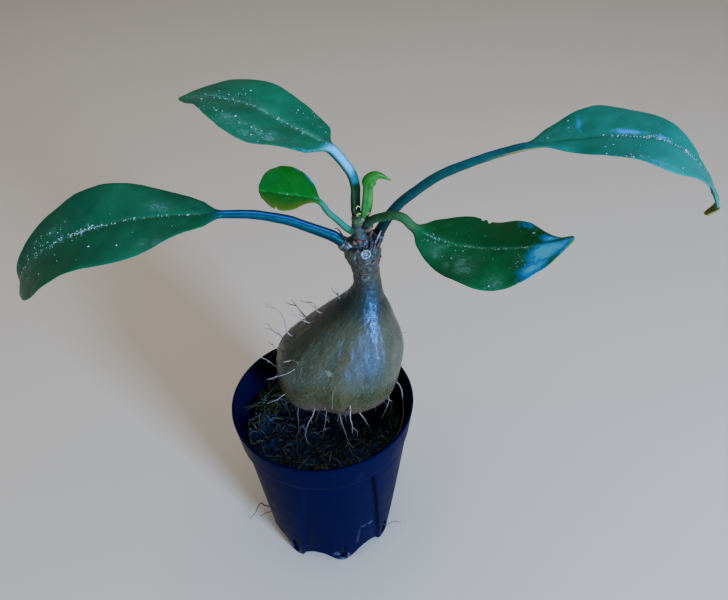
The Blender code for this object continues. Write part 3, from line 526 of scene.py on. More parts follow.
def cut_slots(body):
    """Cuts the eight drain slots: wedges round the foot of the pot, wide below and narrow above."""
    bearing = np.radians(RECESS_BEARING + 45 * np.arange(8))[:, None, None]
    out = np.concatenate([np.sin(bearing), -np.cos(bearing), 0 * bearing], -1)
    along = np.concatenate([np.cos(bearing), np.sin(bearing), 0 * bearing], -1)
    half = np.array([-SLOT_HALF_LOW, SLOT_HALF_LOW, SLOT_HALF_HIGH, -SLOT_HALF_HIGH])[:, None]
    level = np.array([SLOT_LOW, SLOT_LOW, SLOT_HIGH, SLOT_HIGH])[:, None] * np.array([0, 0, 1.0])
    corners = np.concatenate([out * far + along * half + level for far in (SLOT_INNER, SLOT_OUTER)], 1)
    box = np.array([(0, 3, 2, 1), (4, 5, 6, 7), (0, 1, 5, 4), (1, 2, 6, 5), (2, 3, 7, 6), (3, 0, 4, 7)])
    quads = (box[None] + np.arange(8)[:, None, None] * 8).reshape(-1, 4)
    slots = bpy.data.meshes.new("slot_cutter")
    slots.from_pydata((corners.reshape(-1, 3) * MM).tolist(), [], quads.tolist())
    cutter = bpy.data.objects.new("slot_cutter", slots)
    bpy.context.scene.collection.objects.link(cutter)
    cut = body.modifiers.new("slots", "BOOLEAN")
    cut.object, cut.solver, cut.operation = cutter, "EXACT", "DIFFERENCE"
    bpy.context.view_layer.update()
    body.data = bpy.data.meshes.new_from_object(body.evaluated_get(bpy.context.evaluated_depsgraph_get()))
    body.modifiers.clear()
    bpy.data.objects.remove(cutter)


def pot(finish):
    """The thin shell as one closed skin: under the base, over the feet, up the side, round the lip
    and down the inner wall to the floor, with the drain slots cut through it."""
    heights = [*np.linspace(8.6, 24, 33), 27, 31, 35, 40, 45, 49, 51.2, 51.8, 52.2, 52.6, 53.0, 53.4, 53.8,
               54.6, 57, 60, 62.4]
    lip = [(0.45, 0.0), (0.22, 0.05), (0.08, 0.16), (0.0, 0.32), (0.0, 0.58), (0.08, 0.74), (0.22, 0.85),
           (0.45, POT_WALL)]   # drop from the top and inset of each ring
    foot = np.linspace(0.15, 1, 5)[:-1]
    outside = [base_ring(r, 0.0) for r in (2.5, 5, 8, FLAT_DISC, 12, 14, 16, 18, 19.6)]
    outside += [pot_ring(0.0, 1.2, 1), pot_ring(0.12, 0.55, 1), pot_ring(0.5, 0.18, 1), pot_ring(1.4, 0, 1)]
    outside += [pot_ring(1.4 + 7.2 * t, 0.0, 1 - t) for t in foot]
    rings = outside + [pot_ring(h, 0.0) for h in heights]
    rings += [pot_ring(POT_HEIGHT - drop, inset) for drop, inset in lip]
    rings += [pot_ring(h, POT_WALL) for h in heights[::-1]]
    rings += [pot_ring(2.0 + 6.6 * t, POT_WALL, 1 - t) for t in foot[::-1]]
    rings += [pot_ring(FLOOR_THICKNESS + 0.1, POT_WALL + 1.1, 1)]
    rings += [base_ring(r, FLOOR_THICKNESS) for r in (18, 14, FLAT_DISC, 5)]
    points, faces = skin(np.array(rings), (0, 0, 0), (0, 0, FLOOR_THICKNESS))
    round_pot = np.degrees(np.arctan2(points[:, 0], -points[:, 1]))
    outer = np.arange(len(points)) < (len(outside) + len(heights)) * len(rings[0])
    # the crease mark is painted shade: dark lines along the panel edges
    body = piece("pot_shell", finish, points, faces, node="pot",
                 marks={"worn": worn_places(round_pot, points[:, 2]),
                        "crease": painted_panel_shade(round_pot, points[:, 2]) * outer})
    cut_slots(body)
    body.data.set_sharp_from_angle(angle=math.radians(38))
    return body


def soil_top(x, y):
    """Height of the soil: low crossed waves, and lumps of three sizes on them."""
    at = np.stack([x, y, np.zeros_like(x)], -1)
    return (SOIL_TOP + 0.55 * np.sin(0.31 * x + 0.9) * np.cos(0.27 * y - 0.4)
            + 0.4 * np.sin(0.53 * y + 0.33 * x) + 0.3 * np.cos(0.71 * x - 0.45 * y + 1.7)
            + 0.8 * relief(at, 2.6, 21) + 0.45 * relief(at, 1.2, 22) + 0.2 * relief(at, 0.6, 23))


def soil(finish):
    """The filling: its side follows the pot's inner wall, its top runs in rings from the wall to
    the hole of the root stump, and the hole goes down from there."""
    rings = [base_ring(r, FLOOR_THICKNESS + GAP) for r in (FLAT_DISC, 14.0, 17.8)]
    rings += [pot_ring(FLOOR_THICKNESS + 0.2 + GAP, POT_WALL + 1.2 + GAP, 1),
              pot_ring(2.1, POT_WALL + GAP, 1)]
    rings += [pot_ring(h, POT_WALL + GAP) for h in (8.6, 22.0, 37.0, 46.0, SOIL_RIM)]
    rim = rings[-1]
    stump = np.array([STUMP[0], STUMP[1], 0.0])
    rays = rim - stump
    rays[:, 2] = 0
    hole = unit(rays) * STUMP_HOLE
    for share in np.linspace(0.995, 0.0, 96):
        ring = stump + hole + (rays - hole) * share
        edge = smooth((1 - share) / 0.05)
        ring[:, 2] = SOIL_RIM + (soil_top(ring[:, 0], ring[:, 1]) - SOIL_RIM) * edge
        rings.append(ring)
    rings += [stump + hole + (0, 0, level) for level in (50.0, 47.0, STUMP_FOOT - GAP)]
    points, faces = skin(np.array(rings), (0, 0, FLOOR_THICKNESS + GAP), (*STUMP, STUMP_FOOT - GAP))
    return piece("soil_bed", finish, points, faces, node="soil")


def lie_on_soil(middle, heading, bend, length, lift, arch_up, steps=9):
    """Paths that lie on the soil: each starts with its middle point and heading, turns evenly along
    its length, rises in a low arch and dips into the soil at both ends."""
    s = np.linspace(0, 1, steps)[None]
    way = heading[:, None] + bend[:, None] * length[:, None] * (s - 0.5)
    step = length[:, None] / (steps - 1)
    x = np.cumsum(np.cos(way) * step, axis=1)
    y = np.cumsum(np.sin(way) * step, axis=1)
    x += middle[:, :1] - x.mean(axis=1, keepdims=True)
    y += middle[:, 1:] - y.mean(axis=1, keepdims=True)
    far = np.hypot(x, y)
    keep = np.minimum(1.0, STRAND_REACH / np.maximum(far, 1e-6))
    x, y = x * keep, y * keep
    z = soil_top(x, y) + lift[:, None] + arch_up[:, None] * 4 * s * (1 - s) - 0.9 * (2 * s - 1) ** 6
    return np.stack([x, y, z], -1)


def scatter(rng, count):
    """Places spread evenly over the soil."""
    turn = rng.uniform(0, 2 * math.pi, count)
    far = np.sqrt(rng.uniform(0, SOIL_RADIUS**2, count))
    return np.stack([far * np.cos(turn), far * np.sin(turn)], -1)


def one_tone(values, per_strand):
    """One value for each strand, repeated for all its points."""
    return np.repeat(np.ravel(values), per_strand)


def strand_piece(name, finish, paths, width, thick, sides, tones, face=None, sharp=None):
    """One piece made of many strands, each with its own tone."""
    points, faces = strands(paths, width, thick, sides, face)
    marks = {"tone": one_tone(tones, points.shape[1])}
    return piece(name, finish, points, faces, marks=marks, sharp=sharp)


def moss_strands(finish):
    """Dead moss strands strewn over the soil: long thin arches, thinner towards both ends."""
    rng = np.random.default_rng(4)
    count = 440
    paths = lie_on_soil(scatter(rng, count), rng.uniform(0, 2 * math.pi, count), rng.normal(0, 0.09, count),
                        rng.gamma(4, 1.3, count).clip(2, 11), rng.uniform(0.05, 0.35, count),
                        rng.uniform(0.1, 1.0, count) ** 2 * 2.2)
    s = np.linspace(0, 1, 9)
    width = rng.uniform(0.14, 0.4, (count, 1)) * (1 - 0.6 * np.abs(2 * s - 1) ** 3)
    return strand_piece("moss_strands", finish, paths, width, width * 0.75, 5, rng.random(count))


def living_moss(finish):
    """Tufts of green moss at the wall: short strands that lean outwards from the soil."""
    rng = np.random.default_rng(9)
    tufts = np.array([(-21.5, 8, 2.4, 70), (-19, 12.5, 2.2, 60), (-22, 2, 1.8, 30), (24.6, -6, 1.2, 50),
                      (23.2, -11, 1.3, 60), (20.4, -15.6, 1.4, 60), (16.4, -19.8, 1.6, 50), (25, 1, 1.0, 30),
                      (11.5, -22.6, 1.6, 24), (-12, -21, 2.2, 16), (4, 24.0, 2.4, 40)])
    which = np.repeat(np.arange(len(tufts)), tufts[:, 3].astype(int))
    foot = tufts[which, :2] + rng.normal(0, 1, (len(which), 2)) * tufts[which, 2:3]
    far = np.linalg.norm(foot, axis=1, keepdims=True)
    foot *= np.minimum(1, TUFT_REACH / far)
    s = np.linspace(0, 1, 6)[None, :, None]
    lean = np.concatenate([rng.normal(0, 0.5, foot.shape) - 0.02 * foot, np.ones((len(foot), 1))], 1)
    curl = np.concatenate([rng.normal(0, 0.5, foot.shape), -np.abs(rng.normal(0, 0.3, (len(foot), 1)))], 1)
    length = rng.uniform(1.6, 4.2, (len(foot), 1, 1))
    base = np.concatenate([foot, soil_top(foot[:, 0], foot[:, 1])[:, None] - 0.8], 1)
    paths = base[:, None] + length * (lean[:, None] * s + curl[:, None] * s**2)
    width = rng.uniform(0.22, 0.42, (len(foot), 1)) * (1 - 0.7 * np.linspace(0, 1, 6)[None] ** 2)
    return strand_piece("living_moss", finish, paths, width, width * 0.6, 5, rng.random(len(foot)))


def bark_chips(finish):
    """Crumbs of bark and peat: short flat blobs, widest in the middle, half sunk in the soil."""
    rng = np.random.default_rng(14)
    count = 420
    middle = scatter(rng, count)
    length = rng.uniform(0.7, 3.0, count)
    paths = lie_on_soil(middle, rng.uniform(0, 2 * math.pi, count), np.zeros(count), length,
                        rng.uniform(0.0, 0.35, count), np.zeros(count), 5)
    paths[..., 2] += rng.normal(0, 0.35, (count, 1)) * np.linspace(-1, 1, 5)
    swell = np.array([0.45, 0.85, 1.0, 0.8, 0.4])[None] * rng.uniform(0.85, 1.15, (count, 5))
    width = length[:, None] * rng.uniform(0.2, 0.42, (count, 1)) * swell
    face = np.concatenate([rng.normal(0, 0.4, (count, 2)), np.ones((count, 1))], 1)
    thick = width * rng.uniform(0.35, 0.8, (count, 1))
    return strand_piece("bark_chips", finish, paths, width, thick, 7, rng.random(count), face, 50)


def caudex_rings(rows, around):
    """Rings of the caudex: lobes and a shallow crease lengthwise, strongest at the widest part."""
    height, cx, cy, rx, ry = rows.T[..., None]
    turn = round_turn(around)[None]
    fat = smooth((rx - 5.0) / 13.0)
    lumps = (0.028 * np.cos(3 * turn + 0.6 + 0.02 * height) + 0.018 * np.cos(5 * turn - 1.1)
             + 0.014 * np.sin(7 * turn + 0.09 * height))
    crease = 0.035 * bell((turn - math.radians(CREASE_BEARING)) / 0.2)
    swell = 1 + fat * (lumps - crease)
    rings = np.stack([cx + rx * swell * np.cos(turn), cy + ry * swell * np.sin(turn),
                      height + 0 * turn], -1)
    return rings, np.broadcast_to(fat, rings.shape[:2])


def cushions():
    """The cushions under the two oldest petioles: round skins along their paths, ribbed and dented
    by random relief, with a thin pale lip where the petiole stands."""
    steps, around = 64, 56
    paths = np.array([flow(points, steps) for points, _ in CUSHIONS])
    s = np.linspace(0, 1, steps)
    lip = bell((s - 0.95) / 0.03)
    radius = np.array([flow(radii, steps)[:, 0] for _, radii in CUSHIONS]) + 0.1 * lip
    points, faces = strands(paths, radius, radius, around)
    rings = points[:, :-2].reshape(2, steps, around, 3)
    out = unit(rings - paths[:, :, None])
    amount = 0.26 * relief(rings * (0.6, 1, 1), 1.2, 41) + 0.12 * relief(rings, 0.55, 42)
    points[:, :-2] = (rings + out * (amount * (1 - 0.8 * lip)[None, :, None])[..., None]).reshape(2, -1, 3)
    rim = np.repeat(lip, around)
    return points.reshape(-1, 3), faces, np.tile(np.concatenate([rim, rim[[0, -1]]]), 2)


def caudex(finish):
    """The swollen stem and its crown. Over the lobed rings lie fine lengthwise wrinkles, soft
    dents, bark that gets rougher towards the crown, fillets to the cushions, a crack below the buds
    and round scars with a raised rim. grain unrolls the skin: the bearing as a circle of constant
    size, and the length along the skin shortened five times, for streaks that run lengthwise."""
    rows = flow(CAUDEX_ROWS, 270)
    around = 290
    rings, fat = caudex_rings(rows, around)
    x, y, z = np.moveaxis(rings, -1, 0)
    woody = smooth((z - BARK_START) / (BARK_ROUGH - BARK_START)) * (1 - 0.8 * smooth((z - YOUNG_STEM) / 2.5))
    long_grain = rings * (1, 1, GRAIN_LENGTH)
    amount = (0.075 * relief(long_grain, 0.8, 31) + 0.12 * relief(long_grain, 2.0, 32)
              + 0.05 * relief(rings, 0.6, 33) + fat * 0.35 * relief(rings, 8.0, 34))
    neck = within(z, 97, 8, 121, 3)
    amount -= 0.12 * neck * bell(relief(rings * (0.35, 0.35, 1), 1.5, 39) / 0.16)
    knotty = 0.3 + 0.7 * smooth((z - BARK_ROUGH + 0.5 * (x - 15)) / 5)
    bark = (0.22 * relief(rings * (1, 1, 1.9), 1.7, 35) + 0.15 * relief(rings, 0.8, 36)
            - 0.35 * bell(relief(rings * (1, 1, 1.6), 2.3, 37) / 0.12))
    amount += woody * knotty * bark
    # thin rings of old scars round the neck's right side
    old_rings = smooth((x - 13) / 3) * smooth((z - 108) / 2) * smooth((119 - z) / 2)
    amount += 0.09 * old_rings * relief(rings * (0.15, 0.15, 1), 0.55, 47)
    # fillets to the cushions
    for points, radii in CUSHIONS:
        line = flow(points, 24)
        off = np.linalg.norm(rings[:, :, None] - line, axis=-1) - flow(radii, 24)[:, 0]
        amount += 0.7 * bell(np.maximum(off.min(axis=-1), 0) / 0.8)
    # the crack below the buds, and two nodes of the young stem
    crack = bell((z - 119.9 - 0.22 * (x - 11.5)) / 0.42) * smooth(17.2 - x) * (y < 6)
    crack *= smooth((relief(rings, 1.6, 43) + 1.0) / 0.8)
    amount -= 0.75 * crack
    node = sum(bell((z - level) / 0.5) for level in STEM_NODES) * (z > 121)
    amount += 0.28 * node
    scar = np.zeros_like(z)
    for number, (middle, radius) in enumerate(LEAF_SCARS):
        off = np.linalg.norm(rings - np.array(middle), axis=-1)
        inside = np.exp(-(off / (radius * 1.5)) ** 4)
        amount *= 1 - 0.8 * inside
        amount = (amount + 0.42 * bell((off - radius) / 0.34) - 0.3 * bell(off / (0.7 * radius))
                  + 0.35 * bell(off / 0.3))
        ring = bell((off - radius) / 0.3) + 0.9 * bell((off - 0.42 * radius) / 0.16)
        scar = np.maximum(scar, ring * (number > 0))
    off = np.linalg.norm((rings - np.array(PALE_SCAR)) * (1.0, 1, 1.2), axis=-1)
    pale = smooth((1.5 - off + 1.1 * relief(rings, 0.8, 38)) / 1.0)
    off = np.linalg.norm((rings - np.array(NECK_SCAR)) * (0.8, 1, 1.3), axis=-1)
    scar *= (0.75 + 0.35 * relief(rings, 0.5, 44)).clip(0, 1)
    pale = np.maximum(pale, 0.7 * smooth((1.3 - off + 0.8 * relief(rings, 0.7, 40)) / 0.8))
    amount += 0.1 * pale
    rings = push_out(rings, amount)

    turn = round_turn(around)
    arc = run_along(rows[:, [0, 3]])
    across, level = 0 * arc[:, None], 0 * turn
    grain = np.stack([GRAIN_RADIUS * np.cos(turn) + across, GRAIN_RADIUS * np.sin(turn) + across,
                      GRAIN_LENGTH * arc[:, None] + level], -1)
    marks = capped({"woody": woody, "neck": within(z, 93, 8, 116, 8),
                    "scar": scar, "pale": pale, "low": smooth((72.5 - z) / 10.0), "crack": crack,
                    "green": smooth((z - YOUNG_STEM) / 3), "high": smooth((z - 126.5) / 2), "lip": 0 * z,
                    "grain": grain})
    more, more_faces, lip = cushions()
    side = {name: np.zeros(len(more)) for name in marks}
    side.update(woody=np.ones(len(more)), lip=lip, grain=more)
    marks = {name: np.concatenate([mark, side[name]]) for name, mark in marks.items()}
    points, faces = joined([skin(rings, (7, 7.5, STUMP_FOOT), CROWN_TOP), (more, more_faces)])
    return piece("caudex_body", finish, points, faces, node="caudex", marks=marks)


def wander(paths, amount, size, seed):
    """Bends paths by a smooth random shift that grows from nothing at their first point."""
    shift = np.stack([relief(paths, size, seed + k) for k in range(3)], -1)
    return paths + shift * amount * np.linspace(0, 1, paths.shape[1])[None, :, None] ** 0.7


def side_roots(rng, main):
    """Paths and thickness of side roots, two from each main one, which they leave at a slant."""
    parent = np.repeat(np.arange(len(main)), 2)
    place = rng.integers(10, 19, len(parent))
    foot = main[parent, place]
    way = unit(main[parent, place + 1] - main[parent, place - 1])
    slant = rng.normal(0, 1, way.shape)
    slant = unit(slant - way * (slant * way).sum(axis=1, keepdims=True))
    length = rng.uniform(1.2, 4.6, (len(parent), 1, 1))
    s = FINE_STEPS
    side = foot[:, None] + length * (s * (0.75 * way + 0.75 * slant)[:, None] - 0.25 * s**2 * slant[:, None])
    high = foot[:, 2] > SOIL_TOP + 3
    side = wander(side[high], 0.6, 1.6, 71)
    return side, rng.uniform(0.12, 0.2, (len(side), 1)) * (1 - 0.6 * s[..., 0])


def flank_hairs(rng):
    """Paths and thickness of short hairs that stand and droop on the lower flank."""
    s = FINE_STEPS
    count = 55
    rows = flow(CAUDEX_ROWS, 262)
    low = rng.integers(*np.searchsorted(rows[:, 0], HAIR_HEIGHTS), count)
    rings, _ = caudex_rings(rows, 300)
    turn = rng.integers(0, 300, count)
    foot = rings[low, turn]
    out = unit(foot - np.stack([rows[low, 1], rows[low, 2], rows[low, 0] + 2], -1))
    curl = rng.normal(0, 0.6, out.shape) - (0, 0, 0.3)
    length = rng.gamma(2.2, 0.7, (count, 1, 1)).clip(0.5, 4.5)
    hair = foot[:, None] - 0.4 * out[:, None] + length * (s * out[:, None] + s**2 * curl[:, None])
    reach = np.linalg.norm(hair[..., :2], axis=-1).max(axis=1)
    hair = hair[(reach < 26) | (hair[:, 0, 2] > 66)]
    return hair, rng.uniform(0.08, 0.15, (len(hair), 1)) * (1 - 0.5 * s[..., 0])


def under_roots(rng):
    """Paths and thickness of roots from the underside down into the soil, bowed outwards."""
    s = FINE_STEPS
    count = 18
    turn = rng.uniform(0, 2 * math.pi, count)
    ray = np.stack([np.cos(turn), np.sin(turn), 0 * turn], -1)
    start = np.array([5.8, 7.5, 60.5]) + ray * rng.uniform(7, 10.5, (count, 1))
    end = np.array([6.5, 7.5, 50.8]) + ray * rng.uniform(7.5, 13.5, (count, 1))
    bow = ray * rng.uniform(0.5, 2.5, (count, 1)) + rng.normal(0, 0.8, ray.shape) * (1, 1, 0)
    under = start[:, None] * (1 - s) + end[:, None] * s + bow[:, None] * 4 * s * (1 - s)
    under = wander(under, 0.7, 2.4, 81)
    return under, rng.uniform(0.12, 0.24, (count, 1)) * (1 - 0.35 * s[..., 0])


def rootlets(finish):
    """Loose rootlets: the main ones along their given paths, then the three finer kinds."""
    rng = np.random.default_rng(5)
    steps = 22
    main = wander(np.array([flow(path, steps) for path in ROOTLETS]), 0.5, 3.0, 61)
    s = np.linspace(0, 1, steps)
    tip = np.where(np.array([path[-1][2] for path in ROOTLETS]) < SOIL_TOP + 2, 0.45, 0.75)[:, None]
    thick = rng.uniform(0.2, 0.29, (len(main), 1)) * (1 - tip * s**1.5)
    skins, tone = [], []
    for paths, thick in [(main, thick), side_roots(rng, main), flank_hairs(rng), under_roots(rng)]:
        some, some_faces = strands(paths, thick, thick, 7)
        skins.append((some.reshape(-1, 3), some_faces))
        tone.append(one_tone(rng.random(len(some)), some.shape[1]))
    points, faces = joined(skins)
    return piece("rootlets", finish, points, faces, node="caudex",
                 marks={"tone": np.concatenate(tone)})


def crown_scales(finish):
    """Scales and knobs round the petiole bases: an oval section along each path, thinnest at both
    ends, flat side away from the stem, with a crumpled skin."""
    steps = 14
    paths = np.array([flow(row[0], steps) for row in SCALES])
    half, thick, tone, green = np.array([row[1:] for row in SCALES], float).T[..., None]
    out = unit((paths.mean(axis=1) - CROWN_TOP) * (1, 1, 0))
    t = np.linspace(0, 1, steps)[None]
    profile = np.clip(1 - (2 * t - 1) ** 2, 0.01, 1) ** 0.35
    points, faces = strands(paths, half * profile, thick * profile, 12, out)
    points = points + 0.08 * np.stack([relief(points, 0.5, 45 + k) for k in range(3)], -1)
    marks = {"tone": one_tone(tone, points.shape[1]), "green": one_tone(green, points.shape[1])}
    return piece("crown_scales", finish, points, faces, marks=marks)


def drain_threads(finish):
    """Thin root ends that found their way out of two drain slots."""
    paths = wander(np.array([flow(path, 16) for path in DRAIN_THREADS]), 0.5, 2.0, 91)
    thick = np.array([[0.28], [0.2], [0.2]]) * (1 - 0.55 * np.linspace(0, 1, 16)[None])
    return strand_piece("drain_threads", finish, paths, thick, thick, 6, (0.05, 0.2, 0.0))


def leaf_path(spec):
    """Points from the crown to the leaf's tip, with the cross directions: side lies level and up
    stands on the blade, both turned about the path by the roll."""
    whole = flow(list(spec["stalk"]) + list(spec["vein"]), 1600)
    start = int(np.argmin(np.linalg.norm(whole - np.array(spec["vein"][0]), axis=1)))
    pick = np.concatenate([np.linspace(0, start, STALK_ROWS + 1)[:-1], np.linspace(start, 1599, BLADE_ROWS)])
    low = np.floor(pick).astype(int).clip(0, 1598)
    part = (pick - low)[:, None]
    path = whole[low] * (1 - part) + whole[low + 1] * part
    run = run_along(path)
    tangent = unit(np.gradient(path, run, axis=0))
    chord = np.array(spec["vein"][-1], float) - np.array(spec["vein"][0], float)
    level = unit(np.array([chord[1], -chord[0], 0.0])) * (1 if chord[0] < 0 else -1)
    side = unit(level - (tangent @ level)[:, None] * tangent)
    rightward = chord[0] * level[1] - chord[1] * level[0] > 0
    up = np.cross(tangent, side) * (1 if rightward else -1)
    tilt = math.radians(spec["roll"])
    side, up = side * math.cos(tilt) - up * math.sin(tilt), up * math.cos(tilt) + side * math.sin(tilt)
    return path, run - run[STALK_ROWS], side, up, rightward


def leaf_outline(spec, u, length):
    """How far the blade reaches from its midrib to both edges, a little rough and with bites."""
    seed = spec["seed"]
    steps = np.linspace(0, 1, 201)
    far, near = (np.interp(u[:, 0], steps, flow(spec[key], 201)[:, 0])[:, None] for key in ("far", "near"))
    rough = 0.14 * within(u, 0, 0.1, 1, 0.08)
    edge_at = np.concatenate([u * length, 0 * u, 0 * u], 1)
    far = far + rough * relief(edge_at, 2.4, seed)[:, None]
    near = near + rough * relief(edge_at, 2.4, seed + 1)[:, None]
    for which, place, spread, deep in spec["bites"]:
        bite = deep * np.exp(-((u - place) / spread) ** 4)
        far, near = (far - bite, near) if which > 0 else (far, near - bite)
    return far, near


def leaf_veins(u, v, length):
    """The side veins, which leave the midrib at a slant, and the swellings between them."""
    pairs = max(4, round(length / VEIN_SPACING))
    line = u * pairs - 1.25 * np.abs(v) ** 1.25 + 0.45 * (v > 0)
    off = np.abs(line - np.round(line)) * length / pairs
    reach = (smooth(np.abs(v) / 0.05) * smooth((0.94 - np.abs(v)) / 0.3) * smooth(u / 0.07)
             * smooth((1 - u) / 0.1))
    return (bell(off / 0.42) * reach,
            smooth(off / (0.5 * length / pairs)) * reach)


def leaf_browning(name, u, v):
    """Brown parts of a blade: its tip, and on the young leaf most of the near side."""
    return {
        "leaf_right": smooth((u - 0.915) / 0.05) * 0.9 + 0 * v,
        "leaf_young": smooth((-v - 0.4) / 0.7) * smooth(u / 0.25) * 0.7 + 0.2 * smooth((v - 0.8) / 0.2),
    }.get(name, 0.35 * smooth((u - 0.96) / 0.03) + 0 * v)


def sheen_and_haze_patches(spec, u, v, over):
    """Patches on the upper side, each fading with the distance from its middle: the painted bluish sheen, a
    reflection painted into the colour, and the pale haze of dried water.
    """
    patches = {}
    for kind in ("painted_sheen", "haze"):
        spread = [size * np.exp(-(((u - a) / da) ** 2 + ((v - b) / db) ** 2))
                  for a, b, da, db, size in spec[kind]]
        patches[kind] = np.max(spread, axis=0) * over * smooth(u / 0.02) if spread else 0 * u * v
    return patches


def leaf(name, spec, finish):
    """A blade and its petiole in one skin. Round sections along the petiole flatten into the
    blade's section, which has a rounded edge, a groove over the midrib and a ridge below it, sunk
    side veins that leave the midrib at a slant, swellings between them and rippled edges."""
    path, run, side, up, rightward = leaf_path(spec)
    length, seed = run[-1], spec["seed"]
    u = np.concatenate([np.zeros(STALK_ROWS), np.linspace(0, 1, BLADE_ROWS)])[:, None]
    along = np.concatenate([np.linspace(0, 1, STALK_ROWS), np.ones(BLADE_ROWS)])[:, None]
    blade = smooth(u / 0.1)
    far, near = leaf_outline(spec, u, length)
    radius = spec["stalk_radii"][0] + (spec["stalk_radii"][1] - spec["stalk_radii"][0]) * along
    base = smooth(1 - along / 0.16) * (u == 0)
    radius = radius * (1 + 0.05 * base) + 0.06 * relief(path, 1.5, seed + 2)[:, None]

    s = np.linspace(-1, 1, 2 * HALF_COUNT + 1)
    v = s - 0.75 * np.sin(2 * math.pi * s) / (2 * math.pi)
    v = np.concatenate([v, v[-2:0:-1]])[None]
    over = (np.arange(4 * HALF_COUNT) <= 2 * HALF_COUNT)[None]
    width = np.where(v > 0, far, near) * v
    tall, count, phase = spec["wave"]
    ripple = tall * np.sin(2 * math.pi * count * u + phase + 1.2 * np.sign(v)) * v**2
    ripple *= within(u, 0, 0.2, 1, 0.1)

    vein, quilt = leaf_veins(u, v, length)
    place = np.stack([u * length + 0 * v, width, 0 * width + 7.0 * seed], -1)
    surface = 0.05 * quilt - 0.035 * vein + 0.3 * relief(place, 8.0, seed + 3) * smooth(u / 0.15)
    surface += 0.07 * relief(place, 2.6, seed + 4)

    lift = math.tan(math.radians(spec["keel"])) * np.abs(width) + ripple + surface
    rib = (1 - 0.75 * u) * bell(v / 0.12)
    half = BLADE_THICKNESS / 2 * np.sqrt(np.clip(1 - v**12, 0, 1))
    top = lift + half - 0.34 * rib * blade
    under = lift - half - (RIB_DEPTH - 0.1) * rib - 0.12 * vein
    height = np.where(over, top, under)
    turns = math.pi * (1 - np.arange(4 * HALF_COUNT) / (2 * HALF_COUNT))[None]
    wide = radius * np.cos(turns) * (1 - blade) + width * blade
    tall = radius * np.sin(turns) * (1 - blade) + height * blade
    rings = path[:, None] + wide[..., None] * side[:, None] + tall[..., None] * up[:, None]
    ends = rings[[0, -1]].mean(axis=1)
    ends[1] += unit(path[-1] - path[-2]) * 0.35

    seat = smooth(1 - (run[:, None] - run[0] - 2.4) / 1.2) * (u == 0)
    streak = 0.75 * bell((run[:, None] - 1.0) / 6.5) * (name == "leaf_right") * ~over
    # painted highlight: a bluish strip along the petiole
    begin, middle, spread, size = spec["painted_gleam"]
    painted_gleam = size * smooth((along - begin) / 0.06) * np.exp(-(np.abs(turns - middle) / spread) ** 3)
    warm = np.where(v > 0, *spec["warm"]) * smooth(np.abs(v) / 0.1) * over
    marks = {"rib": bell(width / (0.3 + 0.35 * (1 - u))) * blade, "painted_gleam": painted_gleam * (1 - blade),
             "vein": vein * blade, "under": ~over * blade, "stalk": 1 - blade + 0 * v, "warm": warm + 0 * u,
             "mellow": spec["mellow"] + 0 * u * v, "foot": smooth(1 - along) ** 2 * (u == 0) + 0 * v,
             "browning": np.maximum(leaf_browning(name, u, v) * blade, streak) + 0 * v,
             "seat": seat + 0 * v, **sheen_and_haze_patches(spec, u, v, over)}
    if rightward:
        rings = rings[:, ::-1]
        marks = {k: m[:, ::-1] for k, m in marks.items()}
    marks = capped(marks)
    points, faces = skin(rings, ends[0], ends[1])
    piece(name + "_blade", finish, points, faces, node=name, marks=marks)
    return rings[STALK_ROWS:, ::-1] if rightward else rings[STALK_ROWS:]


def lime_crumbs(tops, finish):
    """Crumbs of dried hard water, lying on the blades: lumps of twelve corners, each corner at its own
    random distance, flattened and half sunk in the skin, mostly small ones. tops are the blades'
    rings; a crumb's place along and across is drawn from its leaf's crust rows."""
    rng = np.random.default_rng(23)
    golden = (1 + 5**0.5) / 2
    ball = np.array([(a, b * golden, 0) for a in (-1, 1) for b in (-1, 1)]
                    + [(0, a, b * golden) for a in (-1, 1) for b in (-1, 1)]
                    + [(a * golden, 0, b) for a in (-1, 1) for b in (-1, 1)]) / 1.9
    near = np.linalg.norm(ball[:, None] - ball[None], axis=-1) < 1.2
    trio = np.array([(i, j, k) for i in range(12) for j in range(i + 1, 12) for k in range(j + 1, 12)
                     if near[i, j] and near[j, k] and near[i, k]])
    normal = np.cross(ball[trio[:, 1]] - ball[trio[:, 0]], ball[trio[:, 2]] - ball[trio[:, 0]])
    inward = (normal * ball[trio].mean(axis=1)).sum(axis=1) < 0
    trio[inward] = trio[inward][:, ::-1]
    middle, up = [], []
    for name, rings in tops.items():
        half = rings.shape[1] // 2
        for start, end, across, spread, count in LEAVES[name]["crust"]:
            u = rng.uniform(start, end, count)
            gather = np.sin(u * 61 + 5 * across) * 0.5 + np.sin(u * 147) * 0.5
            u = u + 0.012 * gather
            v = (across + rng.normal(0, spread, count)).clip(-0.93, 0.93)
            s = v + 0.75 * np.sin(2 * math.pi * v) / (2 * math.pi)
            row = (u * (len(rings) - 1)).astype(int).clip(1, len(rings) - 2)
            side = ((s + 1) / 2 * half).astype(int).clip(1, half - 1)
            middle.append(rings[row, side] + rng.normal(0, 0.1, (count, 3)) * (1, 1, 0))
            face = np.cross(rings[row + 1, side] - rings[row - 1, side],
                            rings[row, side + 1] - rings[row, side - 1])
            up.append(unit(face) * np.sign(face[:, 2:]))
    middle, up = np.concatenate(middle)[:, None], np.concatenate(up)[:, None]
    size = 0.08 + 0.2 * rng.random((len(middle), 1, 1)) ** 4
    lump = ball[None] * size * rng.uniform(0.6, 1.35, (len(middle), 12, 1))
    lump = lump * rng.uniform(0.7, 1.5, (len(middle), 1, 3))
    lump = lump - 0.45 * (lump * up).sum(axis=-1, keepdims=True) * up
    points = (middle + lump).reshape(-1, 3)
    faces = trio[None] + 12 * np.arange(len(middle))[:, None, None]
    tone = one_tone(rng.random(len(middle)), 12)
    return piece("lime_crumbs", finish, points, (np.zeros((0, 4), int), faces.reshape(-1, 3)),
                 marks={"tone": tone})


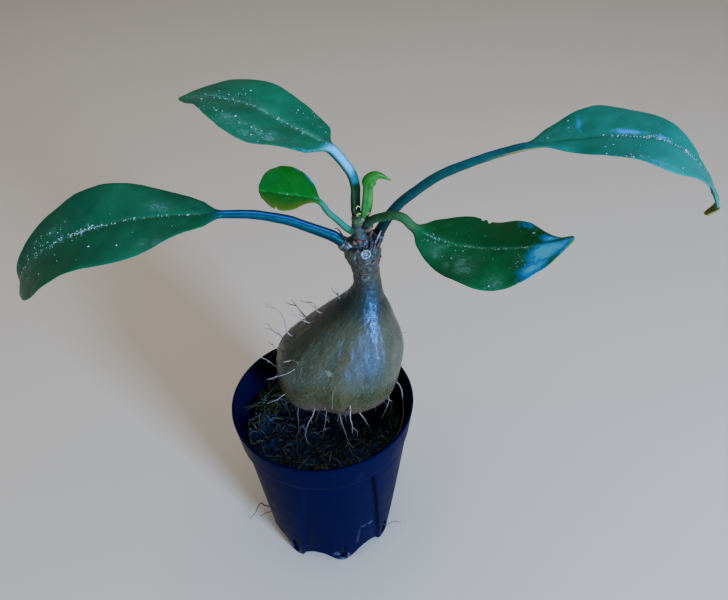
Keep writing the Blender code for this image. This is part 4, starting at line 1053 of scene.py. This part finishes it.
def shoot(finish):
    """The rolled leaf: an oval tube with the groove of its seam, widest under the hood, drawn out
    to a curved point."""
    rows, around = 110, 48
    path = flow(SHOOT_PATH, rows)
    radius = flow(SHOOT_RADII, rows)
    tangent = unit(np.gradient(path, axis=0))
    front = unit(np.array([0.0, 1.0, 0.0]) - tangent * tangent[:, 1:2])
    side = np.cross(front, tangent)
    turn = round_turn(around)[None]
    t = np.linspace(0, 1, rows)[:, None]
    hood = within(t, 0.55, 0.1, 1, 0.2)
    seam = 4.3 + 0.5 * t
    neck = bell((t - 0.6) / 0.022)
    fold = bell((turn - seam) / 0.22)
    groove = 0.08 * fold * smooth(t / 0.2) * smooth((1 - t) / 0.1)
    flap = 0.2 * bell((turn - seam - 0.5) / 0.35) * smooth((t - 0.3) / 0.3)
    pinch = 0.24 * neck * (0.55 + 0.45 * np.cos(turn))
    ring = radius * (1 - groove + flap - pinch + 0.32 * hood)
    wide = ring * np.cos(turn) * (1 + 0.15 * hood)
    deep = ring * np.sin(turn) * (1 - 0.12 * hood)
    rings = path[:, None] + wide[..., None] * side[:, None] + deep[..., None] * front[:, None]
    place = np.stack([turn + 0 * t, 0 * turn + t * 8, 0 * turn + 0 * t], -1)
    rings = push_out(rings, 0.05 * relief(place, 0.7, 51))
    end = path[-1] + tangent[-1] * 0.5
    points, faces = skin(rings, path[0], end)
    # painted shade: darker in the seam's fold below the hood and on one side of the pinch under it
    inside = np.maximum(0.2 * fold * (1 - hood), neck * (0.5 + 0.5 * np.cos(turn)))
    marks = capped({"fold": inside, "tall": t + 0 * turn})
    return piece("shoot_leaf", finish, points, faces, node="shoot_tip", marks=marks)


# finishes

FACTOR, UNDER, OVER, RESULT = 0, 6, 7, 2   # sockets of a colour Mix node


def rgb(code):
    """Linear colour of an sRGB hex code."""
    part = np.array([int(code[k:k + 2], 16) for k in (0, 2, 4)]) / 255
    linear = np.where(part <= 0.04045, part / 12.92, ((part + 0.055) / 1.055) ** 2.4)
    return (*linear, 1.0)


def per(size):
    """Scale of a pattern on Object coordinates whose cells are size millimetres."""
    return 1 / (size * MM)


def new_finish(name, **sockets):
    """A material with its node tree and its shader, whose sockets get the given values."""
    made = bpy.data.materials.new(name)
    made.use_nodes = True
    shader = made.node_tree.nodes["Principled BSDF"]
    for socket, value in sockets.items():
        shader.inputs[socket.replace("_", " ")].default_value = value
    return made, made.node_tree, shader


def add(tree, kind, ins=(), **settings):
    """Adds a node: settings are its own choices, ins its inputs in order, or by name or number in a
    dict. An output given there makes a link, and anything else a value. Returns the node's outputs."""
    made = tree.nodes.new("ShaderNode" + kind)
    for key, value in settings.items():
        setattr(made, key, value)
    for key, value in (ins if isinstance(ins, dict) else dict(enumerate(ins))).items():
        if isinstance(value, bpy.types.NodeSocket):
            tree.links.new(value, made.inputs[key])
        else:
            made.inputs[key].default_value = value
    return made.outputs


def layered(tree, colour):
    """A colour given as a hex code, as an output, or as a list of layers: first the ground, then
    pairs of how much a layer covers those below it and the layer's own colour. The cover is an
    output, or the name of one of the piece's marks with the share that it is multiplied by."""
    if isinstance(colour, str):
        return rgb(colour)
    if not isinstance(colour, list):
        return colour
    below = layered(tree, colour[0])
    for cover, over in colour[1:]:
        if isinstance(cover, tuple):
            mark = add(tree, "Attribute", attribute_name=cover[0])["Fac"]
            cover = add(tree, "Math", (mark, cover[1]), operation="MULTIPLY")[0]
        below = add(tree, "Mix", {FACTOR: cover, UNDER: below, OVER: layered(tree, over)},
                    data_type="RGBA")[RESULT]
    return below


def dressed(tree, shader, colour, rough, height, strength, distance):
    """Links the layered colour, the roughness and the bump of a height in millimetres to the
    shader."""
    bump = add(tree, "Bump", {"Height": height, "Strength": strength, "Distance": distance * MM})
    tree.links.new(layered(tree, colour), shader.inputs["Base Color"])
    tree.links.new(rough, shader.inputs["Roughness"])
    tree.links.new(bump["Normal"], shader.inputs["Normal"])


def moulded_polypropylene():
    """Injection moulded polypropylene, dyed navy: an even, slightly waxy satin surface. Its gloss is
    set low, since the real pot mirrors little. Dried water dulls it in soft patches, painted shade
    darkens the edges of its panels as dark lines, and its feet and slots carry pale scuffs."""
    made, tree, shader = new_finish("navy_moulded_polypropylene", IOR=1.2, Specular_IOR_Level=0.06,
                                    Specular_Tint=(0.06, 0.25, 1.0, 1.0))
    place = add(tree, "TexCoord")["Object"]
    dust, specks, grain = [
        add(tree, "TexNoise", {"Vector": place, "Scale": per(size), "Detail": detail, "Roughness": rough})[0]
        for size, detail, rough in ((7, 5, 0.62), (1.1, 5, 0.75), (0.9, 3, 0.5))]
    height = add(tree, "SeparateXYZ", (place,))[2]
    film = add(tree, "MapRange", (dust, 0.48, 0.78, 0, 0.5), interpolation_type="SMOOTHSTEP")[0]
    low, worn, broken, rough = [add(tree, "MapRange", row)[0] for row in (
        (height, 13 * MM, 1 * MM, 0, 0.9), (specks, 0.63, 0.7, 0, 0.6), (specks, 0.4, 0.56, 0.1, 0.9),
        (dust, 0.3, 0.8, 0.3, 0.5))]
    scuff = add(tree, "Math", (worn, low), operation="MULTIPLY")[0]
    mark = add(tree, "Attribute", attribute_name="worn")["Fac"]
    mark = add(tree, "Math", (mark, broken), operation="MULTIPLY")[0]
    scuff = add(tree, "Math", (scuff, mark), operation="MAXIMUM")[0]
    height = add(tree, "Math", (grain, scuff), operation="ADD")[0]
    # the crease layer is painted shade, near black along the panel edges
    dressed(tree, shader, ["010326", (film, "02082f"), (("crease", 1), "000105"), (scuff, "8793a8")],
            rough, height, 0.12, 0.25)
    return made


def wet_peat():
    """Damp black peat: nearly matt, crumbly, with brown fibre dust on the crests, and a painted
    bluish sheen over the open bed in front of the caudex: a reflection painted into its colour."""
    made, tree, shader = new_finish("damp_peat", IOR=1.4, Specular_IOR_Level=0.2,
                                    Specular_Tint=(0.4, 0.65, 1.0, 1.0))
    place = add(tree, "TexCoord")["Object"]
    crumb = add(tree, "TexNoise", {"Vector": place, "Scale": per(1.6), "Detail": 8, "Roughness": 0.7})[0]
    region = add(tree, "TexNoise", {"Vector": place, "Scale": per(9), "Detail": 2})[0]
    fibre = add(tree, "TexVoronoi", {"Vector": place, "Scale": per(0.8)})["Distance"]
    spot = add(tree, "SeparateXYZ", (place,))
    crest, region, front, top, rough = [add(tree, "MapRange", row)[0] for row in (
        (crumb, 0.48, 0.74, 0, 1), (region, 0.4, 0.6, 0, 1), (spot[1], -2 * MM, -12 * MM, 0, 0.42),
        (spot[2], 48 * MM, 50 * MM, 0, 1), (crumb, 0.3, 0.7, 0.55, 0.9))]
    # painted reflection: a bluish colour over the front of the soil's top
    sheen = add(tree, "Math", (front, top), operation="MULTIPLY")[0]
    height = add(tree, "Math", (crumb, fibre), operation="ADD")[0]
    dressed(tree, shader, ["0c1522", (crest, ["2c4464", (region, "263024")]), (sheen, "284a78")],
            rough, height, 0.9, 0.5)
    return made


def strand_finish(name, dark, light, other, rough_low, rough_high, size):
    """Plant fibre: every strand has its own tone between a dark and a light colour, with darker
    flecks, and in some regions the light colour gives way to another."""
    made, tree, shader = new_finish(name, IOR=1.45, Specular_IOR_Level=0.3)
    place = add(tree, "TexCoord")["Object"]
    tone = add(tree, "Attribute", attribute_name="tone")["Fac"]
    fleck, region = [add(tree, "TexNoise", {"Vector": place, "Scale": per(cell), "Detail": detail})[0]
                     for cell, detail in ((size, 4), (6, 2))]
    both = add(tree, "Math", (tone, fleck), operation="MULTIPLY")[0]
    mixed, region, rough = [add(tree, "MapRange", row)[0] for row in (
        (both, 0.06, 0.55, 0, 1), (region, 0.42, 0.6, 0, 1), (fleck, 0.3, 0.7, rough_low, rough_high))]
    dressed(tree, shader, [dark, (mixed, [light, (region, other)])], rough, fleck, 0.5, 0.2)
    return made


def caudex_skin():
    """Corky skin of the swollen stem: olive brown with fine grey streaks that run lengthwise, a
    grainy waxy glint that mirrors the window in blue, a purple brown underside and a dark olive
    neck. The crown has woody bark with cracks, and above it stands the olive, then yellow green
    young stem."""
    made, tree, shader = new_finish("corky_caudex_skin", IOR=1.5, Specular_IOR_Level=0.75,
                                    Specular_Tint=(0.1, 0.44, 1.0, 1.0))
    place = add(tree, "TexCoord")["Object"]
    grain = add(tree, "Attribute", attribute_name="grain")["Vector"]
    # streaks about 0.3 mm wide and 1.6 mm long on a ground that changes over 5 mm; the grain is in
    # millimetres
    fine, broad = [
        add(tree, "TexNoise", {"Vector": grain, "Scale": scale, "Detail": 4, "Roughness": rough})[0]
        for scale, rough in ((3.1, 0.65), (0.22, 0.5))]
    # the glint's real grain is about 0.1 mm; it is drawn at 0.34 mm to show in the render
    chunk, bent, glint = [
        add(tree, "TexNoise", {"Vector": place, "Scale": per(size), "Detail": detail, "Roughness": rough})[0]
        for size, detail, rough in ((1.2, 6, 0.7), (0.9, 3, 0.5), (0.34, 2, 0.5))]
    fleck = add(tree, "MapRange", (fine, 0.46, 0.7, 0, 0.4), interpolation_type="SMOOTHSTEP")[0]
    ground, flake, worn, bent, rough = [add(tree, "MapRange", row)[0] for row in (
        (broad, 0.36, 0.66, 0, 1), (chunk, 0.42, 0.62, 0, 1), (chunk, 0.4, 0.58, 0.1, 0.8),
        (bent, 0.25, 0.75, -0.32 * MM, 0.32 * MM), (glint, 0.42, 0.6, 0.46, 0.14))]
    # the crack layer is painted shade: the inside of the crack below the buds drawn near black
    colour = ["38361a", (ground, "4c4626"), (fleck, "6a6d58"), (("low", 0.95), "664e40"),
              (("neck", 0.8), "181c08"), (("woody", 0.75), ["1c1808", (flake, "50461e")]),
              (("green", 1), [["2a2614", (flake, "54502a")], (("high", 1), ["2f3d14", (flake, "5b7436")])]),
              (("pale", 0.7), "787a68"), (("scar", 0.6), "9aa8ac"), (("lip", 0.5), "7c8086"),
              (("crack", 0.9), "050404")]
    # the newest leaf scar: a white ring 2.4 mm across, bent and worn, with a smaller one inside
    newest, size = LEAF_SCARS[0]
    off = add(tree, "VectorMath", (place, tuple(c * MM for c in newest)), operation="DISTANCE")["Value"]
    off = add(tree, "Math", (off, bent), operation="ADD")[0]
    for radius, wide in ((0.95 * size, 0.36), (0.36 * size, 0.2)):
        away = add(tree, "Math", (off, radius * MM), operation="SUBTRACT")[0]
        away = add(tree, "Math", (away,), operation="ABSOLUTE")[0]
        band = add(tree, "MapRange", (away, wide * MM, 0.2 * wide * MM, 0, 1))[0]
        colour.append((add(tree, "Math", (band, worn), operation="MULTIPLY")[0], "a8b8ba"))
    matt = 0.0
    for name, share in (("neck", 0.05), ("woody", 0.1), ("green", 0.35)):
        mark = add(tree, "Attribute", attribute_name=name)["Fac"]
        matt = add(tree, "Math", (mark, share, matt), operation="MULTIPLY_ADD")[0]
    rough = add(tree, "Math", (rough, matt), operation="ADD", use_clamp=True)[0]
    height = add(tree, "Math", (glint, 2.0, fine), operation="MULTIPLY_ADD")[0]
    height = add(tree, "Math", (height, chunk), operation="ADD")[0]
    dressed(tree, shader, colour, rough, height, 0.26, 0.14)
    return made


def dry_scales():
    """Scales on the crown: from black brown through pink brown to a bluish white waxy edge, the
    young ones yellow green, crumpled and dull."""
    made, tree, shader = new_finish("dry_scales", IOR=1.45, Specular_IOR_Level=0.35)
    place = add(tree, "TexCoord")["Object"]
    tone = add(tree, "Attribute", attribute_name="tone")["Fac"]
    crumple = add(tree, "TexNoise", {"Vector": place, "Scale": per(0.9), "Detail": 5, "Roughness": 0.7})[0]
    pink, white, dark, rough = [add(tree, "MapRange", row)[0] for row in (
        (tone, 0, 0.5, 0, 1), (tone, 0.5, 1, 0, 1), (crumple, 0.36, 0.54, 0.75, 0),
        (crumple, 0.3, 0.7, 0.45, 0.7))]
    dressed(tree, shader, ["0d0a0a", (pink, "6b5048"), (white, "a9b4c4"), (dark, "17110f"),
                           (("green", 1), ["6f8a3a", (crumple, "b9c97e")])], rough, crumple, 0.6, 0.25)
    return made


def waxy_leaf(name, deep, fresh, yellowish, rib, brown, bluish):
    """Thick leaf with a waxy skin: semi-gloss, deep colour in soft patches, hardly visible side
    veins, a fine midrib, a dull paler underside, a painted bluish sheen that stands for the window's
    reflection, and the haze of dried hard water. The petiole is smoother, blue black or olive, with a
    bluish highlight strip painted along it."""
    made, tree, shader = new_finish(name, IOR=1.42, Specular_IOR_Level=0.36,
                                    Specular_Tint=(0.03, 0.7, 0.9, 1.0))
    place = add(tree, "TexCoord")["Object"]
    mark = {key: add(tree, "Attribute", attribute_name=key)["Fac"]
            for key in ("rib", "under", "stalk", "mellow", "painted_sheen", "haze")}
    patch, broken, streaks, lime, ragged, leather = [
        add(tree, "TexNoise", {"Vector": place, "Scale": per(size), "Detail": detail, "Roughness": rough})[0]
        for size, detail, rough in ((11, 4, 0.6), (3, 3, 0.5), (2.2, 3, 0.5), (0.6, 4, 0.7), (1.3, 5, 0.75),
                                    (0.7, 4, 0.6))]
    patch, broken, cloudy, ragged, sheen, strong = [add(tree, "MapRange", row)[0] for row in (
        (patch, 0.3, 0.7, 0, 1), (broken, 0.4, 0.62, 0.12, 0.6), (lime, 0.38, 0.6, 0.05, 0.55),
        (ragged, 0.25, 0.75, 0, 1), (leather, 0.3, 0.7, 0.3, 0.44), (mark["painted_sheen"], 0.3, 0.7, 0, 1))]
    ribbed = add(tree, "Math", (mark["rib"], broken), operation="MULTIPLY")[0]
    # watermarks 3 mm across where hard water dried: soft rings on a coarse pattern of cells
    cells = add(tree, "TexVoronoi", {"Vector": place, "Scale": per(3.6), "Randomness": 1})["Distance"]
    ring = add(tree, "MapRange", (cells, 0.5, 0.3, 0.3, 1), interpolation_type="SMOOTHSTEP")[0]
    cloud = add(tree, "Math", (mark["haze"], cloudy), operation="MULTIPLY")[0]
    cloud = add(tree, "Math", (cloud, ring), operation="MULTIPLY")[0]
    # painted sheen: the window's bluish reflection painted into the colour, with ragged edges about 1 mm
    # deep, whitest where it is thick
    wax = add(tree, "Math", (mark["painted_sheen"], ragged), operation="ADD")[0]
    film = add(tree, "MapRange", (wax, 0.72, 1.1, 0, 1), interpolation_type="SMOOTHSTEP")[0]
    film = add(tree, "Math", (film, mark["painted_sheen"]), operation="MULTIPLY")[0]
    thick = add(tree, "MapRange", (wax, 1.15, 1.6, 0, 0.9))[0]
    # the gleam layer is a painted bluish highlight strip on the petiole
    petiole = [["05242e", (streaks, "0a3a48")], (("mellow", 1), ["203e20", (streaks, "3c6a3c")]),
               (("foot", 0.7), "10160f"), (("painted_gleam", 1), ["1f74d8", (("mellow", 1), bluish)])]
    colour = [deep, (patch, fresh), (("warm", 1), yellowish), (("vein", 0.06), rib), (ribbed, rib),
              (("under", 0.6), "2b5a33"), (("stalk", 1), petiole), (("browning", 1), brown),
              (("seat", 1), "1c1614"), (cloud, "7fb5ae"),
              (film, ["1d8f86", (strong, ["0088ff", (thick, "44ccff")])])]

    dull = add(tree, "Math", (mark["under"], 0.2), operation="MULTIPLY")[0]
    rough = add(tree, "Math", (sheen, dull), operation="ADD")[0]
    chalky = add(tree, "Math", (cloud, 0.35), operation="MULTIPLY")[0]
    rough = add(tree, "Math", (rough, chalky), operation="ADD")[0]
    matt = add(tree, "Math", (mark["mellow"], mark["stalk"]), operation="MULTIPLY")[0]
    matt = add(tree, "Math", (matt, 0.7), operation="MULTIPLY")[0]
    rough = add(tree, "Math", (rough, matt), operation="ADD", use_clamp=True)[0]
    dressed(tree, shader, colour, rough, leather, 0.3, 0.16)
    return made


def soft_shoot():
    """Unopened leaf: soft, yellow green, a little light goes through it; darker on the hood, with
    painted shade in the fold of its seam and round the pinch under the hood."""
    made, tree, shader = new_finish("soft_new_shoot", IOR=1.42, Subsurface_Weight=0.25,
                                    Subsurface_Scale=1.2 * MM, Subsurface_Radius=(0.6, 1.0, 0.25),
                                    Specular_IOR_Level=0.35, Specular_Tint=(0.4, 1.0, 0.5, 1.0))
    place = add(tree, "TexCoord")["Object"]
    patch = add(tree, "TexNoise", {"Vector": place, "Scale": per(2.4), "Detail": 4})[0]
    tall = add(tree, "Attribute", attribute_name="tall")["Fac"]
    hood, rough = [add(tree, "MapRange", row)[0] for row in (
        (tall, 0.56, 0.66, 0, 0.8), (patch, 0.3, 0.7, 0.32, 0.45))]
    # the fold layer is painted shade
    dressed(tree, shader, ["175e20", (patch, "429040"), (hood, "1f6410"), (("fold", 0.7), "1d4a12")],
            rough, patch, 0.25, 0.3)
    return made


# the plant

pot(moulded_polypropylene())
soil(wet_peat())
moss_strands(strand_finish("dead_moss_strands", "121c2a", "4c6276", "525a48", 0.6, 0.85, 1.2))
living_moss(strand_finish("green_moss", "0c160c", "35562e", "4f6634", 0.55, 0.8, 1.0))
bark_chips(strand_finish("bark_crumbs", "07080a", "2a2724", "2b3947", 0.65, 0.9, 0.9))
caudex(caudex_skin())
root_finish = strand_finish("dry_rootlet_skin", "4a3c34", "a39a8c", "8f8a86", 0.5, 0.7, 0.8)
rootlets(root_finish)
crown_scales(dry_scales())
drain_threads(root_finish)
tops = {name: leaf(name, spec, waxy_leaf("waxy_" + name, *spec["tones"])) for name, spec in LEAVES.items()}
lime_crumbs(tops, strand_finish("dried_hard_water", "6f9298", "c8e4ee", "8ab4bc", 0.55, 0.8, 0.4))
shoot(soft_shoot())


# floor, light and camera


def studio_floor():
    """Plain pale floor, wide enough to fill the view behind the plant."""
    made = new_finish("pale_studio_paper", Roughness=0.75, Base_Color=rgb("dccfbc"))[0]
    mesh = bpy.data.meshes.new("studio_floor")
    mesh.from_pydata([(-4, -3, 0), (4, -3, 0), (4, 6, 0), (-4, 6, 0)], [], [(0, 1, 2, 3)])
    mesh.materials.append(made)
    floor = bpy.data.objects.new("studio_floor", mesh)
    bpy.context.scene.collection.objects.link(floor)


def soft_light(name, place, target, size, power, colour):
    """A rectangular lamp at a place in metres, facing a target."""
    lamp = bpy.data.lights.new(name, "AREA")
    lamp.shape, lamp.size, lamp.size_y = "RECTANGLE", *size
    lamp.energy = power
    lamp.color = rgb(colour)[:3]
    made = bpy.data.objects.new(name, lamp)
    away = unit(np.array(place) - np.array(target))
    across = unit(np.cross((0, 0, 1), away))
    made.matrix_world = Matrix([[*row, at] for row, at in
                                zip(np.stack([across, np.cross(away, across), away], 1), place)]
                               + [[0, 0, 0, 1]])
    bpy.context.scene.collection.objects.link(made)


IMAGE_WIDTH, FOCAL_PIXELS = 728, 650


def camera():
    """The camera at the photograph's angle: its own right, up and forward directions, a lens of
    32.14 mm on a 36 mm wide sensor."""
    right = np.array([0.999717, 0.005905, -0.023046])
    up = np.array([0.014182, 0.629846, 0.776590])
    back = np.array([0.019101, -0.776697, 0.629584])
    place = np.array([18.208, -147.018, 224.047]) * MM
    lens = bpy.data.cameras.new("camera")
    lens.sensor_width, lens.lens = 36.0, 36.0 * FOCAL_PIXELS / IMAGE_WIDTH
    lens.clip_start, lens.clip_end = 0.01, 50
    made = bpy.data.objects.new("camera", lens)
    made.matrix_world = Matrix([[right[k], up[k], back[k], place[k]] for k in range(3)] + [[0, 0, 0, 1]])
    bpy.context.scene.collection.objects.link(made)
    bpy.context.scene.camera = made


studio_floor()
plant = (0.01, 0.0, 0.09)
# the key stands at the front right, where the caudex mirrors it as a bluish strip; the petioles mirror it
# too, next to a painted bluish highlight strip
soft_light("window_key", (0.46, -0.55, 0.27), plant, (0.15, 0.28), 14.5, "a6caff")
soft_light("window_foot", (0.12, -0.62, 0.10), plant, (0.3, 0.1), 1.2, "a6caff")
soft_light("ceiling", (0.0, 0.1, 1.1), plant, (1.2, 1.0), 5, "fff4e8")
soft_light("room_fill", (-0.75, -0.55, 0.45), plant, (0.7, 0.7), 1.0, "fff0de")
world = bpy.data.worlds.new("soft_room")
world.use_nodes = True
world.node_tree.nodes["Background"].inputs["Color"].default_value = rgb("dfe6f0")
world.node_tree.nodes["Background"].inputs["Strength"].default_value = 0.27
bpy.context.scene.world = world
camera()

bpy.context.view_layer.update()
